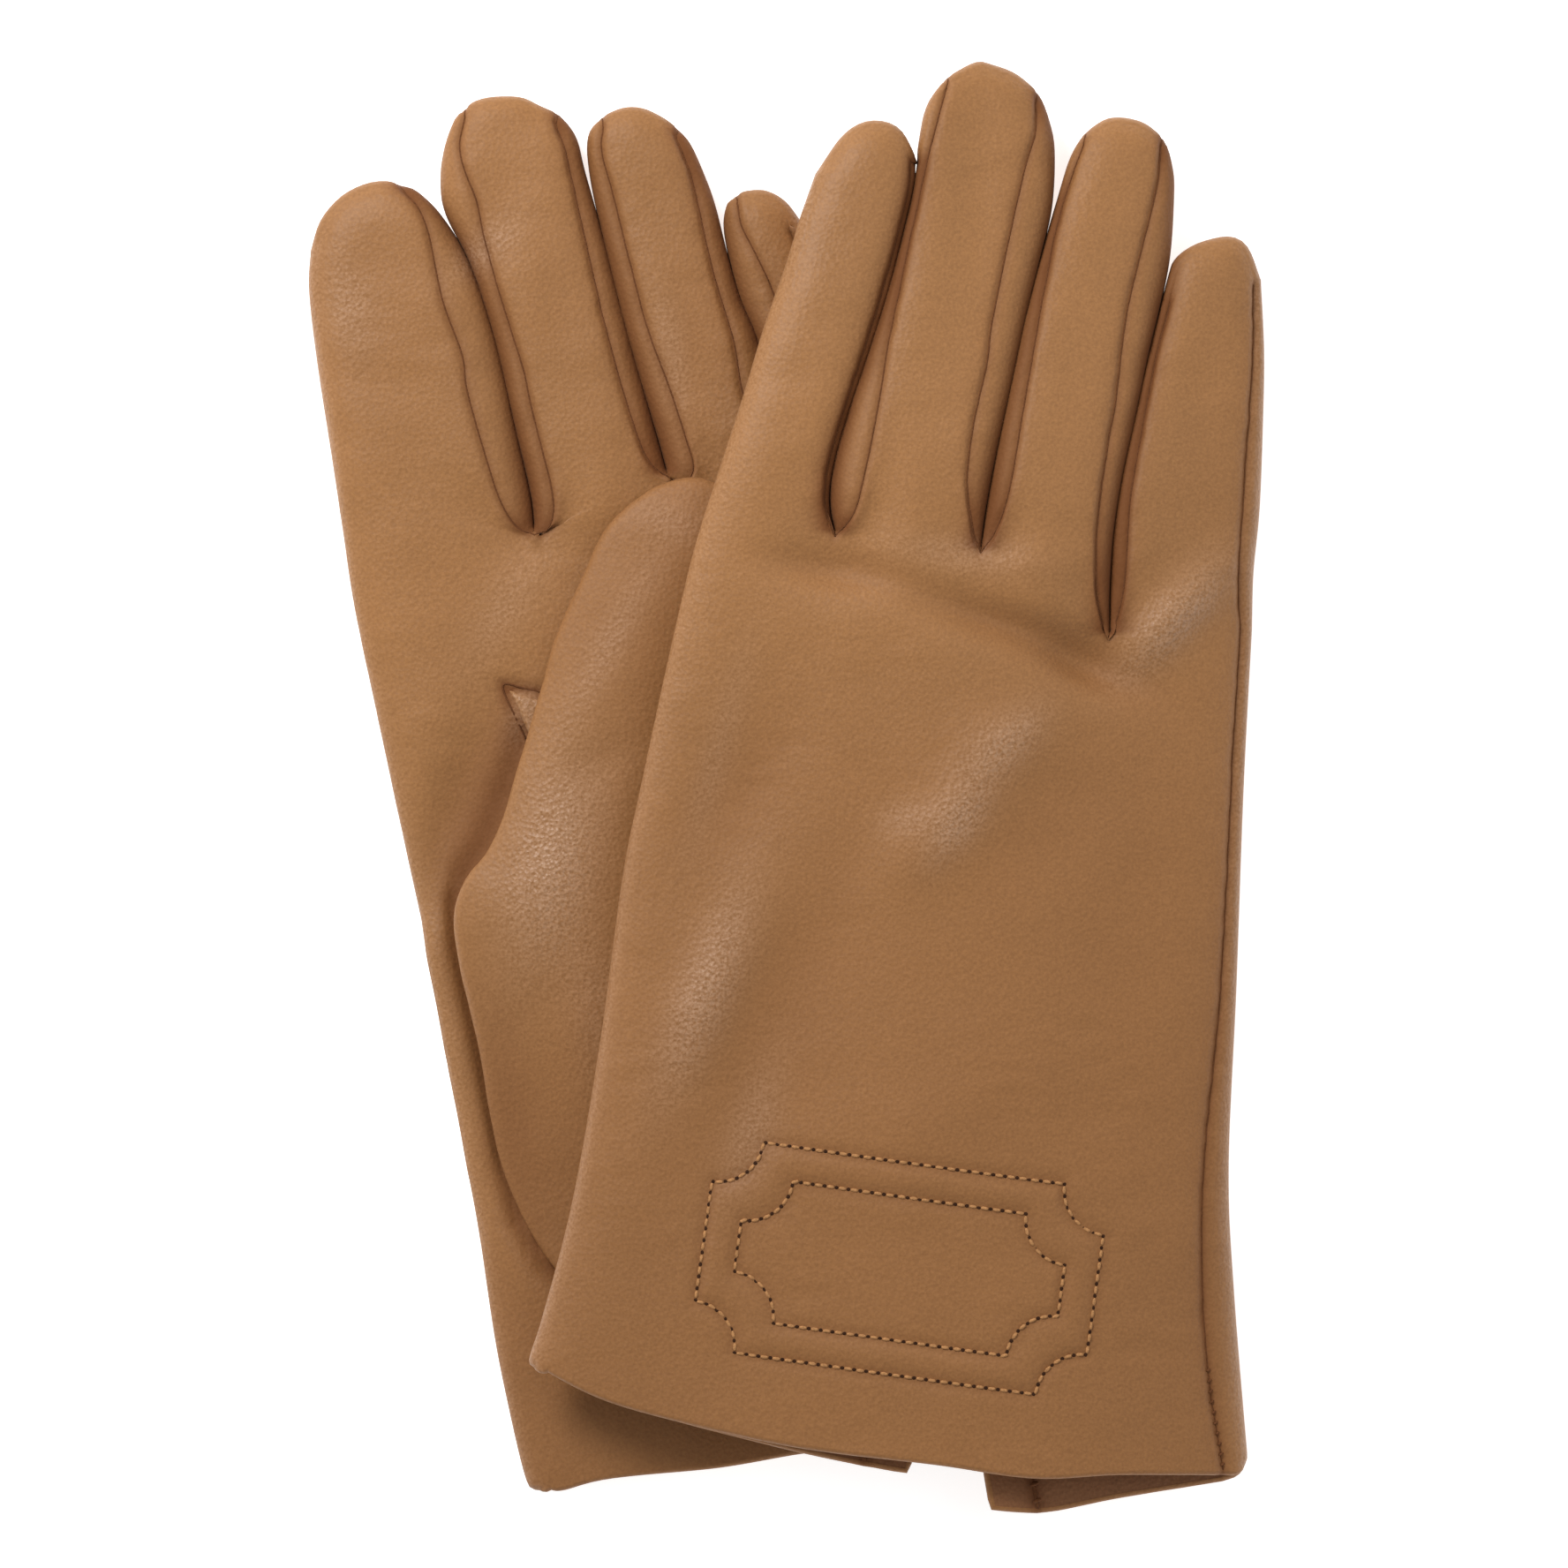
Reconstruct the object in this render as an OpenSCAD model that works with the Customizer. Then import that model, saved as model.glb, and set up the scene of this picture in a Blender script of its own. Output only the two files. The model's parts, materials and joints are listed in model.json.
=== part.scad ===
// A pair of leather dress gloves, laid out as a pair is shown: the left glove lies palm up on the
// table and the right glove lies back up across it. Millimetres, +Z up, +Y towards the fingertips.
// The origin is under the middle of the pair's outline, on the table.
// Each glove is a table-cut trank (back and palm in one piece of leather, folded on the index side
// and sewn on the little finger's side), three fourchettes between the fingers, a set-in thumb with
// a quirk, a turned and faced hem with a slit in the palm, and a thin lining.

/* [Leather] */
// Thickness of the outer leather
skin = 0.9; // [0.7:0.1:1.0]
// Thickness of the lining, and of the skived leather that faces the hem
lining_t = 0.5; // [0.3:0.1:0.6]
// Depth of the leather turned in at the cuff
hem_depth = 18; // [10:1:24]
// Length of the slit in each palm at the cuff
vent_len = 40; // [30:1:50]
// Width of the facing along the slit
vent_facing_w = 4; // [3:0.5:6]

/* [Stack] */
// Thickness of the left glove, which lies flat
left_thick = 7.2; // [7.1:0.05:7.3]
// Thickness of each thumb
thumb_thick = 7; // [6.9:0.05:7.1]
// Thickness of the right glove
right_thick = 9; // [8.5:0.1:9.5]
// Height of the right glove's outer edge above the table
edge_h = 0.5; // [0.3:0.1:0.8]
// Clear space between pieces that move past each other
gap = 0.3; // [0.3:0.05:0.4]

/* [Motif] */
// Width of the stitched cartouche on the back of each hand
motif_w = 69; // [60:1:72]
// Height of the stitched cartouche
motif_h = 37; // [30:1:40]
// Radius of its scooped corners
motif_scoop = 8; // [6:0.5:9]
// Distance between the outer and the inner line of stitches
motif_inset = 6; // [4:0.5:7]
// Width of a line of stitches
stitch_w = 0.8; // [0.6:0.1:1.2]
// Depth to which the stitches sink into the leather
stitch_depth = 0.4; // [0.3:0.1:0.5]

/* [Hidden] */
LEFT = 0;
RIGHT = 1;
SIDES = ["left", "right"];
FINGERS = ["index", "middle", "ring", "little"];
THICK = [left_thick, right_thick];
leather = "#a97f56";
leather_dark = "#8a6340";
lining_colour = "#b99a78";
thread_colour = "#c79a63";

// Heights of the stack: the thumbs lie between the two palms
thumb_z = left_thick + gap;
ride_h = thumb_z + thumb_thick + gap;

// The right glove is level as far as drape_x0, and from there it hangs down to its outer edge
drape_x0 = 28;
drape_x1 = 84.8;
drape_steps = 12;
function drape(x) =
    let (u = min(1, max(0, (x - drape_x0) / (drape_x1 - drape_x0))))
    edge_h + (ride_h - edge_h) * cos(90 * u);

// Each finger: middle of its root, middle of its round tip, half width at the root and at the tip,
// and where it bends, as a share of the way from root to tip
finger_data = [
    [
        [[-63.2, 50], [-71.4, 93], 15.8, 13.2, 0.5],
        [[-33.4, 52], [-48.6, 109], 11.3, 11.7, 0.55],
        [[-9.6, 55], [-24.4, 108], 10.9, 10.7, 0.58],
        [[14.5, 45], [-1.6, 96.5], 10.5, 8, 0.5]
    ],
    [
        [[-6, 44], [12, 107], 9.5, 8.6, 0.47],
        [[21.5, 45], [35, 115.6], 11, 11.6, 0.48],
        [[46, 45], [58.5, 107], 10.7, 9.9, 0.45],
        [[70.3, 35], [75.5, 87.3], 11.6, 9.3, 0.48]
    ]
];
// The left little finger is held under the right glove, so it has no bend of its own
has_bend = [[true, true, true, false], [true, true, true, true]];
function root_of(g, i) = finger_data[g][i][0];
function tip_of(g, i) = finger_data[g][i][1];
function way(a, b) = (b - a) / norm(b - a);
function finger_way(g, i) = way(root_of(g, i), tip_of(g, i));
function bend_of(g, i) = root_of(g, i) + finger_data[g][i][4] * (tip_of(g, i) - root_of(g, i));
function left_hand_of(d) = [-d[1], d[0]];

// Crotches between neighbouring fingers, from the index finger on
crotch = [
    [[-44.6, 43.5], [-21.2, 50], [3, 46]],
    [[8.4, 43.2], [33.8, 40.3], [56.7, 25.7]]
];
// Hand edges from the cuff to the finger roots, on the index side and on the little finger's side
index_edge = [
    [[-45.1, -126.2], [-51.3, -100.4], [-57.4, -61.2], [-62.3, -35.5], [-67.4, -12.1], [-76.4, 30.8],
        [-79, 50]],
    [[-45.9, -102], [-37.5, -72.9], [-32.7, -45.4], [-28.8, -16.7], [-25.4, 0.2], [-21.5, 17.5],
        [-15.5, 42]]
];
little_edge = [
    [[64, -105], [58, -85], [52, -50], [44, -10], [36, 25], [25, 46]],
    [[81.7, -121.4], [79.1, -90.1], [78.1, -67.9], [79.5, -36], [80.6, -1.1], [82, 35]]
];
// Hem lines from the index side to the little finger's side, on the back and on the palm
back_hem = [
    [[-45.1, -126.2], [-21.7, -120.9], [4.5, -117.3], [35, -111.8], [64, -105]],
    [[-45.9, -102], [-16.7, -110.8], [26.2, -117.8], [43.4, -120.3], [81.7, -121.4]]
];
palm_hem = [
    back_hem[LEFT],
    [[-45.9, -102], [-16.7, -112], [21.1, -119], [36, -125.7], [43.4, -127.1], [58.3, -124.9],
        [81.7, -122.2]]
];
// The slit in the palm: its two ends at the hem, and the way up to its top
vent_foot = [[[21, -115], [32, -112]], [[21.1, -119], [36, -125.7]]];
vent_way = [[-0.2, 0.98], [0.12, 0.99]];

// Thumbs. The left thumb swings about the middle of its lower joint.
thumb_pivot = [-32, -5];
thumb_joint_r = 18;
left_thumb_tip = [-18, 38.3];
left_thumb_tip_r = 15.4;
left_thumb_base = [[-51, -14], [-58.9, -21], [-58.2, -30], [-53.9, -48], [-50.5, -67], [-46, -78],
    [-39, -86], [-29, -80], [-16, -50], [-12, -24], [-13.5, -10]];
right_thumb = [[6, -48], [14, 32], 13, 12];
thumb_hole = [[[-37, -54], [-35, -38], 7, 7], [[6, -48], [7.5, -36], 7, 7]];
quirk = [[[-50.2, 18], [-44.2, 16.6], [-46, 6.9]], [[-19, 2], [-13, 3], [-14, -7]]];

motif_place = [[10, -86, 11], [19.7, -84.5, -8]];

// Outline of a finger or a thumb: straight sides between two round ends
arc_steps = 9;
function arc_points(c, r, a0, a1) =
    [for (k = [0 : arc_steps]) let (a = a0 + (a1 - a0) * k / arc_steps) c + r * [cos(a), sin(a)]];
function capsule(a, b, ra, rb) =
    let (d = way(a, b), t = atan2(d[1], d[0]), lean = asin((ra - rb) / norm(b - a)))
    concat(arc_points(b, rb, t - 90 + lean, t + 90 - lean), arc_points(a, ra, t + 90 - lean, t + 270 + lean));

module finger_2d(g, i) {
    polygon(capsule(root_of(g, i), tip_of(g, i), finger_data[g][i][2], finger_data[g][i][3]));
}

// The part of a finger's plane that lies past its bend by a distance s
module past_bend_2d(g, i, s) {
    d = finger_way(g, i);
    n = left_hand_of(d);
    b = bend_of(g, i) + s * d;
    polygon([b - 40 * n, b - 40 * n + 90 * d, b + 40 * n + 90 * d, b + 40 * n]);
}

// The part of a finger that moves when it bends
module moving_finger_2d(g, i, s = 0) {
    intersection() {
        finger_2d(g, i);
        past_bend_2d(g, i, s);
    }
}

function reversed(v) = [for (k = [len(v) - 1 : -1 : 0]) v[k]];
function shifted(v, dy) = [for (p = v) p + [0, dy]];

// The hand without the fingers, run on past the hem so that the cuff stays open
module hand_2d(g) {
    polygon(concat(
        shifted([back_hem[g][0]], -30), index_edge[g],
        [root_of(g, 0), crotch[g][0], root_of(g, 1), crotch[g][1], root_of(g, 2), crotch[g][2],
            root_of(g, 3)],
        reversed(little_edge[g]), shifted([little_edge[g][0]], -30)));
}

module glove_2d(g) {
    hand_2d(g);
    for (i = [0 : 3]) finger_2d(g, i);
}

// Everything above a hem line, raised by dy
module above_hem_2d(hem, dy = 0) {
    last = hem[len(hem) - 1];
    polygon(concat([[-130, hem[0][1] + dy]], shifted(hem, dy), [[130, last[1] + dy], [130, 160], [-130, 160]]));
}

// The glove up to the bends, with clear space left around the parts that bend
module fixed_2d(g) {
    difference() {
        children();
        for (i = [0 : 3]) if (has_bend[g][i]) offset(delta = gap) moving_finger_2d(g, i);
    }
}

// The strip between a piece's outline and the same outline drawn in by two depths
module rim_2d(outer, inner) {
    difference() {
        offset(delta = -outer) children();
        offset(delta = -inner) children();
    }
}

module vent_2d(g, grow = 0) {
    foot = vent_foot[g];
    middle = (foot[0] + foot[1]) / 2;
    offset(delta = grow)
        polygon([foot[0] - 6 * vent_way[g], middle + vent_len * vent_way[g], foot[1] - 6 * vent_way[g]]);
}

// Regions that say which piece of leather a side wall belongs to
module fold_region_2d(g) {
    d = finger_way(g, 0);
    polygon(concat([[-130, -160], back_hem[g][0] + [8, -30], root_of(g, 0), tip_of(g, 0)],
        [tip_of(g, 0) + 40 * d, [-130, 170]]));
}
module side_region_2d(g) {
    d = finger_way(g, 3);
    polygon([tip_of(g, 3) + 40 * d, tip_of(g, 3), root_of(g, 3), little_edge[g][0] + [-8, -30],
        [130, -160], [130, 170]]);
}
module fork_region_2d(g, k) {
    polygon([tip_of(g, k), root_of(g, k), crotch[g][k] - [0, 5], root_of(g, k + 1), tip_of(g, k + 1)]);
}

// Solids between two depths measured from the glove's underside, following the right glove's drape
module drape_band(z0, z1) {
    xs = concat([-130, drape_x0], [for (k = [1 : drape_steps])
        drape_x0 + (drape_x1 - drape_x0) * k / drape_steps], [130]);
    rotate([90, 0, 0]) translate([0, 0, -170]) linear_extrude(340)
        polygon(concat([for (x = xs) [x, drape(x) + z0]], reversed([for (x = xs) [x, drape(x) + z1]])));
}
module layer(g, z0, z1) {
    if (g == LEFT) translate([0, 0, z0]) linear_extrude(z1 - z0) children();
    else intersection() {
        linear_extrude(60) children();
        drape_band(z0, z1);
    }
}
// The back of the left glove is its underside; the back of the right glove is its top
module back_layer(g, depth0, depth1) {
    if (g == LEFT) layer(g, depth0, depth1) children();
    else layer(g, THICK[g] - depth1, THICK[g] - depth0) children();
}
module palm_layer(g, depth0, depth1) {
    if (g == LEFT) layer(g, THICK[g] - depth1, THICK[g] - depth0) children();
    else layer(g, depth0, depth1) children();
}

// The cartouche: a rectangle whose corners are scooped out
function motif_corner(sx, sy, a0) =
    [for (k = [0 : 6]) let (a = a0 + 15 * k)
        [sx * motif_w / 2, sy * motif_h / 2] + motif_scoop * [cos(a), sin(a)]];
function motif_outline() = concat(motif_corner(1, 1, 180), motif_corner(1, -1, 90),
    motif_corner(-1, -1, 0), motif_corner(-1, 1, 270));
module motif_2d(g) {
    place = motif_place[g];
    translate([place[0], place[1]]) rotate(place[2])
        for (inset = [0, motif_inset])
            rim_2d(inset - stitch_w / 2, inset + stitch_w / 2) polygon(motif_outline());
}

module trank_back(g) color(leather) difference() {
    back_layer(g, 0, skin) intersection() {
        fixed_2d(g) glove_2d(g);
        above_hem_2d(back_hem[g]);
    }
    back_layer(g, -1, stitch_depth) motif_2d(g);
}

module trank_palm(g) color(leather) palm_layer(g, 0, skin) difference() {
    intersection() {
        fixed_2d(g) glove_2d(g);
        above_hem_2d(palm_hem[g]);
    }
    vent_2d(g);
    polygon(capsule(thumb_hole[g][0], thumb_hole[g][1], thumb_hole[g][2], thumb_hole[g][3]));
    polygon(quirk[g]);
}

module wall(g) layer(g, skin, THICK[g] - skin) intersection() {
    fixed_2d(g) rim_2d(0, skin) glove_2d(g);
    above_hem_2d(back_hem[g]);
    children();
}
module trank_fold(g) color(leather) wall(g) fold_region_2d(g);
module side_seam(g) color(leather_dark) wall(g) side_region_2d(g);
module fourchette(g, k) color(leather_dark) wall(g) fork_region_2d(g, k);

module thumb_quirk(g) color(leather_dark) palm_layer(g, 0, skin) polygon(quirk[g]);

module inner_layers(g) {
    layer(g, skin, skin + lining_t) children();
    layer(g, THICK[g] - skin - lining_t, THICK[g] - skin) children();
}
module hem_facing(g) color(leather_dark) difference() {
    union() {
        inner_layers(g) intersection() {
            offset(delta = -skin) glove_2d(g);
            above_hem_2d(back_hem[g], 0.5);
            hem_strip_2d(g);
        }
        layer(g, skin + lining_t, THICK[g] - skin - lining_t) intersection() {
            rim_2d(skin, skin + lining_t) glove_2d(g);
            above_hem_2d(back_hem[g], 0.5);
            hem_strip_2d(g);
        }
    }
    palm_layer(g, skin - 0.1, skin + lining_t + 0.1) vent_2d(g, vent_facing_w + 0.1);
}
module hem_strip_2d(g) difference() {
    square([300, 340], center = true);
    above_hem_2d(back_hem[g], hem_depth);
}
module vent_facing(g) color(leather_dark) palm_layer(g, skin, skin + lining_t) intersection() {
    difference() {
        vent_2d(g, vent_facing_w);
        vent_2d(g);
    }
    above_hem_2d(back_hem[g], 0.5);
}
module hand_lining(g) color(lining_colour) difference() {
    union() {
        inner_layers(g) intersection() {
            fixed_2d(g) offset(delta = -skin) glove_2d(g);
            above_hem_2d(back_hem[g], hem_depth + 0.1);
        }
        layer(g, skin + lining_t, THICK[g] - skin - lining_t) intersection() {
            fixed_2d(g) rim_2d(skin, skin + lining_t) glove_2d(g);
            above_hem_2d(back_hem[g], hem_depth + 0.1);
        }
    }
    palm_layer(g, skin - 0.1, skin + lining_t + 0.1) {
        vent_2d(g, vent_facing_w + 0.1);
        polygon(capsule(thumb_hole[g][0], thumb_hole[g][1], thumb_hole[g][2], thumb_hole[g][3]));
    }
}

module motif_stitching(g) color(thread_colour) back_layer(g, 0.05, stitch_depth) motif_2d(g);

// The end of a finger, past its bend
module tip_walls(g, i) layer(g, skin, THICK[g] - skin) intersection() {
    rim_2d(0, skin) finger_2d(g, i);
    past_bend_2d(g, i, gap);
    children();
}
module tip_fork_2d(g, i) {
    if (i > 0) fork_region_2d(g, i - 1);
    if (i < 3) fork_region_2d(g, i);
}
module tip_shell(g, i) color(leather) {
    layer(g, 0, skin) moving_finger_2d(g, i, gap);
    layer(g, THICK[g] - skin, THICK[g]) moving_finger_2d(g, i, gap);
    tip_walls(g, i) difference() {
        square([400, 400], center = true);
        tip_fork_2d(g, i);
    }
}
module tip_fourchettes(g, i) color(leather_dark) tip_walls(g, i) tip_fork_2d(g, i);
module tip_lining(g, i) color(lining_colour) {
    inner_layers(g) intersection() {
        offset(delta = -skin) finger_2d(g, i);
        past_bend_2d(g, i, gap);
    }
    layer(g, skin + lining_t, THICK[g] - skin - lining_t) intersection() {
        rim_2d(skin, skin + lining_t) finger_2d(g, i);
        past_bend_2d(g, i, gap);
    }
}

// Thumbs lie flat between the palms
module thumb_layer(z0, z1) translate([0, 0, thumb_z + z0]) linear_extrude(z1 - z0) children();
module left_thumb_2d() polygon(capsule(thumb_pivot, left_thumb_tip, thumb_joint_r, left_thumb_tip_r));
module thumb_joint_2d(r) translate(thumb_pivot) circle(r, $fn = 48);
module thumb_mouth_2d() translate(thumb_pivot + [-12, -30]) square([24, 26]);

module left_thumb_base_piece() color(leather) {
    translate([0, 0, left_thick]) linear_extrude(thumb_thick + gap - skin) difference() {
        polygon(left_thumb_base);
        offset(delta = -skin) union() {
            polygon(left_thumb_base);
            thumb_joint_2d(thumb_joint_r);
        }
        thumb_joint_2d(thumb_joint_r + gap);
    }
    thumb_layer(thumb_thick - skin, thumb_thick) difference() {
        polygon(left_thumb_base);
        thumb_joint_2d(thumb_joint_r + gap);
    }
}
module left_thumb_tip_piece() color(leather) {
    thumb_layer(0, skin) left_thumb_2d();
    thumb_layer(thumb_thick - skin, thumb_thick) left_thumb_2d();
    thumb_layer(skin, thumb_thick - skin) difference() {
        rim_2d(0, skin) left_thumb_2d();
        thumb_mouth_2d();
    }
}
module left_thumb_tip_lining_piece() color(lining_colour) {
    for (z = [skin, thumb_thick - skin - lining_t])
        thumb_layer(z, z + lining_t) offset(delta = -skin) left_thumb_2d();
    thumb_layer(skin + lining_t, thumb_thick - skin - lining_t) difference() {
        rim_2d(skin, skin + lining_t) left_thumb_2d();
        thumb_mouth_2d();
    }
}
module right_thumb_2d() polygon(capsule(right_thumb[0], right_thumb[1], right_thumb[2], right_thumb[3]));
module right_thumb_piece() color(leather) {
    thumb_layer(0, skin) right_thumb_2d();
    thumb_layer(skin, thumb_thick + gap) rim_2d(0, skin) right_thumb_2d();
}
module right_thumb_lining_piece() color(lining_colour) {
    thumb_layer(skin, skin + lining_t) offset(delta = -skin) right_thumb_2d();
    thumb_layer(skin + lining_t, thumb_thick + gap) rim_2d(skin, skin + lining_t) right_thumb_2d();
}

function named(g, part) = str(SIDES[g], "_", part);
HAND_PARTS = ["trank_back", "trank_palm", "trank_fold", "side_seam", "index_middle_fourchette",
    "middle_ring_fourchette", "ring_little_fourchette", "thumb_quirk", "hem_facing", "vent_facing",
    "hand_lining", "motif_stitching"];
TIP_PARTS = ["tip_shell", "tip_fourchettes", "tip_lining"];

for (g = [LEFT, RIGHT]) {
    trank_back(g);
    trank_palm(g);
    trank_fold(g);
    side_seam(g);
    for (k = [0 : 2])
        fourchette(g, k);
    thumb_quirk(g);
    hem_facing(g);
    vent_facing(g);
    hand_lining(g);
    motif_stitching(g);
    for (i = [0 : 3]) if (has_bend[g][i]) {
        tip_shell(g, i);
        tip_fourchettes(g, i);
        tip_lining(g, i);
    }
}
left_thumb_base_piece();  // left_thumb_base
left_thumb_tip_piece();  // left_thumb_tip
left_thumb_tip_lining_piece();  // left_thumb_tip_lining
right_thumb_piece();  // right_thumb_shell
right_thumb_lining_piece();  // right_thumb_lining
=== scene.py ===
"""A pair of tan leather dress gloves: the left one palm up, the right one back up across it."""
import json
import math

import bpy
import numpy as np
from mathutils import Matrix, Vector, noise
from mathutils.bvhtree import BVHTree
from mathutils.kdtree import KDTree


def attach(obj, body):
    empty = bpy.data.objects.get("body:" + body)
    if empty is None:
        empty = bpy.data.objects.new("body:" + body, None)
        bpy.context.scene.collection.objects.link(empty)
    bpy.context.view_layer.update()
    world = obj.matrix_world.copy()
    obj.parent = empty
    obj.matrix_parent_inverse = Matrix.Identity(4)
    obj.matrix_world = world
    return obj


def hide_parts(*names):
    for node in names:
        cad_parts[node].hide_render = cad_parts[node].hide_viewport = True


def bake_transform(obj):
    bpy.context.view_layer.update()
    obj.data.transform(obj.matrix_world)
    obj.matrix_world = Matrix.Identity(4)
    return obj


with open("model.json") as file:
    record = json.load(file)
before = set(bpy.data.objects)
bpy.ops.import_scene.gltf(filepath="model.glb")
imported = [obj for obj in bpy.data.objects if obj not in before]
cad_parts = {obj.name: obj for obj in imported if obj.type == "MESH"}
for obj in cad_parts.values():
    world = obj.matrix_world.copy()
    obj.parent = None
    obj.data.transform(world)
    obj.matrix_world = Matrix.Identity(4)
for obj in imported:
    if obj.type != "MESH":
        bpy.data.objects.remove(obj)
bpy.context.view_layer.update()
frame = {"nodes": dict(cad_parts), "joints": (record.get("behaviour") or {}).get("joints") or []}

MM = 0.001
FINGERS = ("index", "middle", "ring", "little")

# ---------------------------------------------------------------- outlines, in millimetres
# Every curve runs from the cuff or the crotch towards the fingertip, and the two of a pair are its
# left and right one. An edge is the outermost line of a finger or the hand seen from above, and a
# seam is the sewn line on its upper face; the index finger has a fold and no seam on its left.
# Points that curves share are given once: a finger's edges and seams start at the crotches or at
# the ends of the hand's curves, and the hems start at the left edge of the cuff.
RIGHT = {
    "hand_edge": (
        [(-44.9, -102.8), (-45.1, -100.6), (-42.7, -93), (-37.5, -72.9), (-32.7, -45.4),
         (-28.8, -16.7), (-25.4, 0.2), (-17.5, 35.8), (-14.6, 46.5)],
        [(81.7, -121.2), (79.1, -90.1), (78.1, -67.9), (79.5, -36), (80.8, -1.1), (82.3, 27)]),
    "side_seam": [(76.9, -120.7), (74.2, -102.9), (73.2, -85), (73.6, -65.4), (76.6, -36),
                  (78.7, -1.1), (80.2, 27)],
    "crotches": [(8.4, 43.2), (33.8, 40.3), (56.7, 25.7)],
    "hem": [(-31, -106.8), (-16.7, -110.8), (3.1, -115), (26.2, -117.9), (43.4, -120.3),
            (58.3, -120), (76.9, -120.7)],
    "palm_hem": ([(-24, -109.4), (-3.3, -115), (9, -117.8), (20.8, -120)],
                 [(36.3, -126.6), (45.5, -127), (58.3, -124.9), (76.9, -122.6)]),
    "vent_top": (29, -83),
    "edges": [
        ([(-7.9, 67.1), (-4.2, 79.4), (0, 91.6), (2.2, 98.9), (5, 107)],
         [(7.4, 50), (8.4, 57), (11, 66), (14.4, 76), (17.6, 86), (20, 95),
          (22.2, 104), (22.8, 109)]),
        ([(7.6, 50), (8.6, 57), (11.2, 66), (14.6, 76), (17.8, 86), (20.2, 95),
          (22.4, 105), (23.2, 113), (24.6, 119.2), (28, 124.3)],
         [(34.8, 48), (36.6, 58), (39.2, 70), (41.8, 82), (44.6, 93), (46.7, 102),
          (47.3, 111.8), (46.3, 117.3), (44.6, 121.9)]),
        ([(34.9, 48), (36.8, 58), (39.4, 70), (42, 82), (44.9, 93), (47.4, 102),
          (49.8, 110), (52.4, 114.9)],
         [(56.6, 34), (57.2, 44), (58.7, 54), (60.9, 64), (63.4, 75), (65.9, 85),
          (67.7, 94), (68.5, 105.1), (68, 110), (66.8, 114)]),
        ([(56.8, 34), (57.4, 44), (58.9, 54), (61.1, 64), (63.6, 75), (65.8, 84),
          (67.4, 90)],
         [(82.6, 37.5), (83.7, 48.7), (84.3, 64), (84.5, 76.3), (83.9, 89.1)]),
    ],
    "tips": [
        [(5, 107), (9.9, 113.9), (14.7, 116.4), (19.8, 115), (23.2, 109)],
        [(28, 124.3), (33.2, 127.2), (36.3, 126.8), (40.5, 125.2), (44.6, 121.9)],
        [(52.4, 114.9), (57, 117.6), (62.6, 117), (66.8, 114)],
        [(67.4, 90), (68.2, 92.2), (70.2, 94.2), (73.6, 95.9), (78.4, 96.8), (81.6, 94.9), (83.9, 89.1)],
    ],
    "seams": [
        (None,
         [(6.7, 50), (7.8, 57), (10.4, 66), (13.8, 76), (17, 86), (19.4, 95), (21.6, 104),
          (22, 108.9)]),
        ([(11.8, 47.5), (14.1, 56.7), (16, 66.5), (17.5, 76.3), (19.7, 87.3), (24, 107),
          (26.6, 117), (28, 122.6)],
         [(32.4, 46), (31.6, 53), (32.6, 62.2), (35, 73.2), (36.3, 82.5), (41.1, 105.1),
          (43.8, 114.9), (44.1, 120.3)]),
        ([(36.3, 44.5), (38.8, 51.8), (42, 70.2), (46, 92.2), (49.1, 104.5),
          (52.2, 112.8)],
         [(54.7, 33), (54.4, 42.6), (55.8, 54.9), (58, 67), (60.1, 83.7), (65.2, 104),
          (66.2, 112.6)]),
        ([(59, 35.3), (59.9, 48.7), (61.4, 59), (64, 73.5), (66.1, 82), (68, 89)],
         [(79.7, 37.5), (80.6, 48.7), (81.8, 64), (82.7, 76.3), (82.8, 88.2)]),
    ],
}
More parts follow.
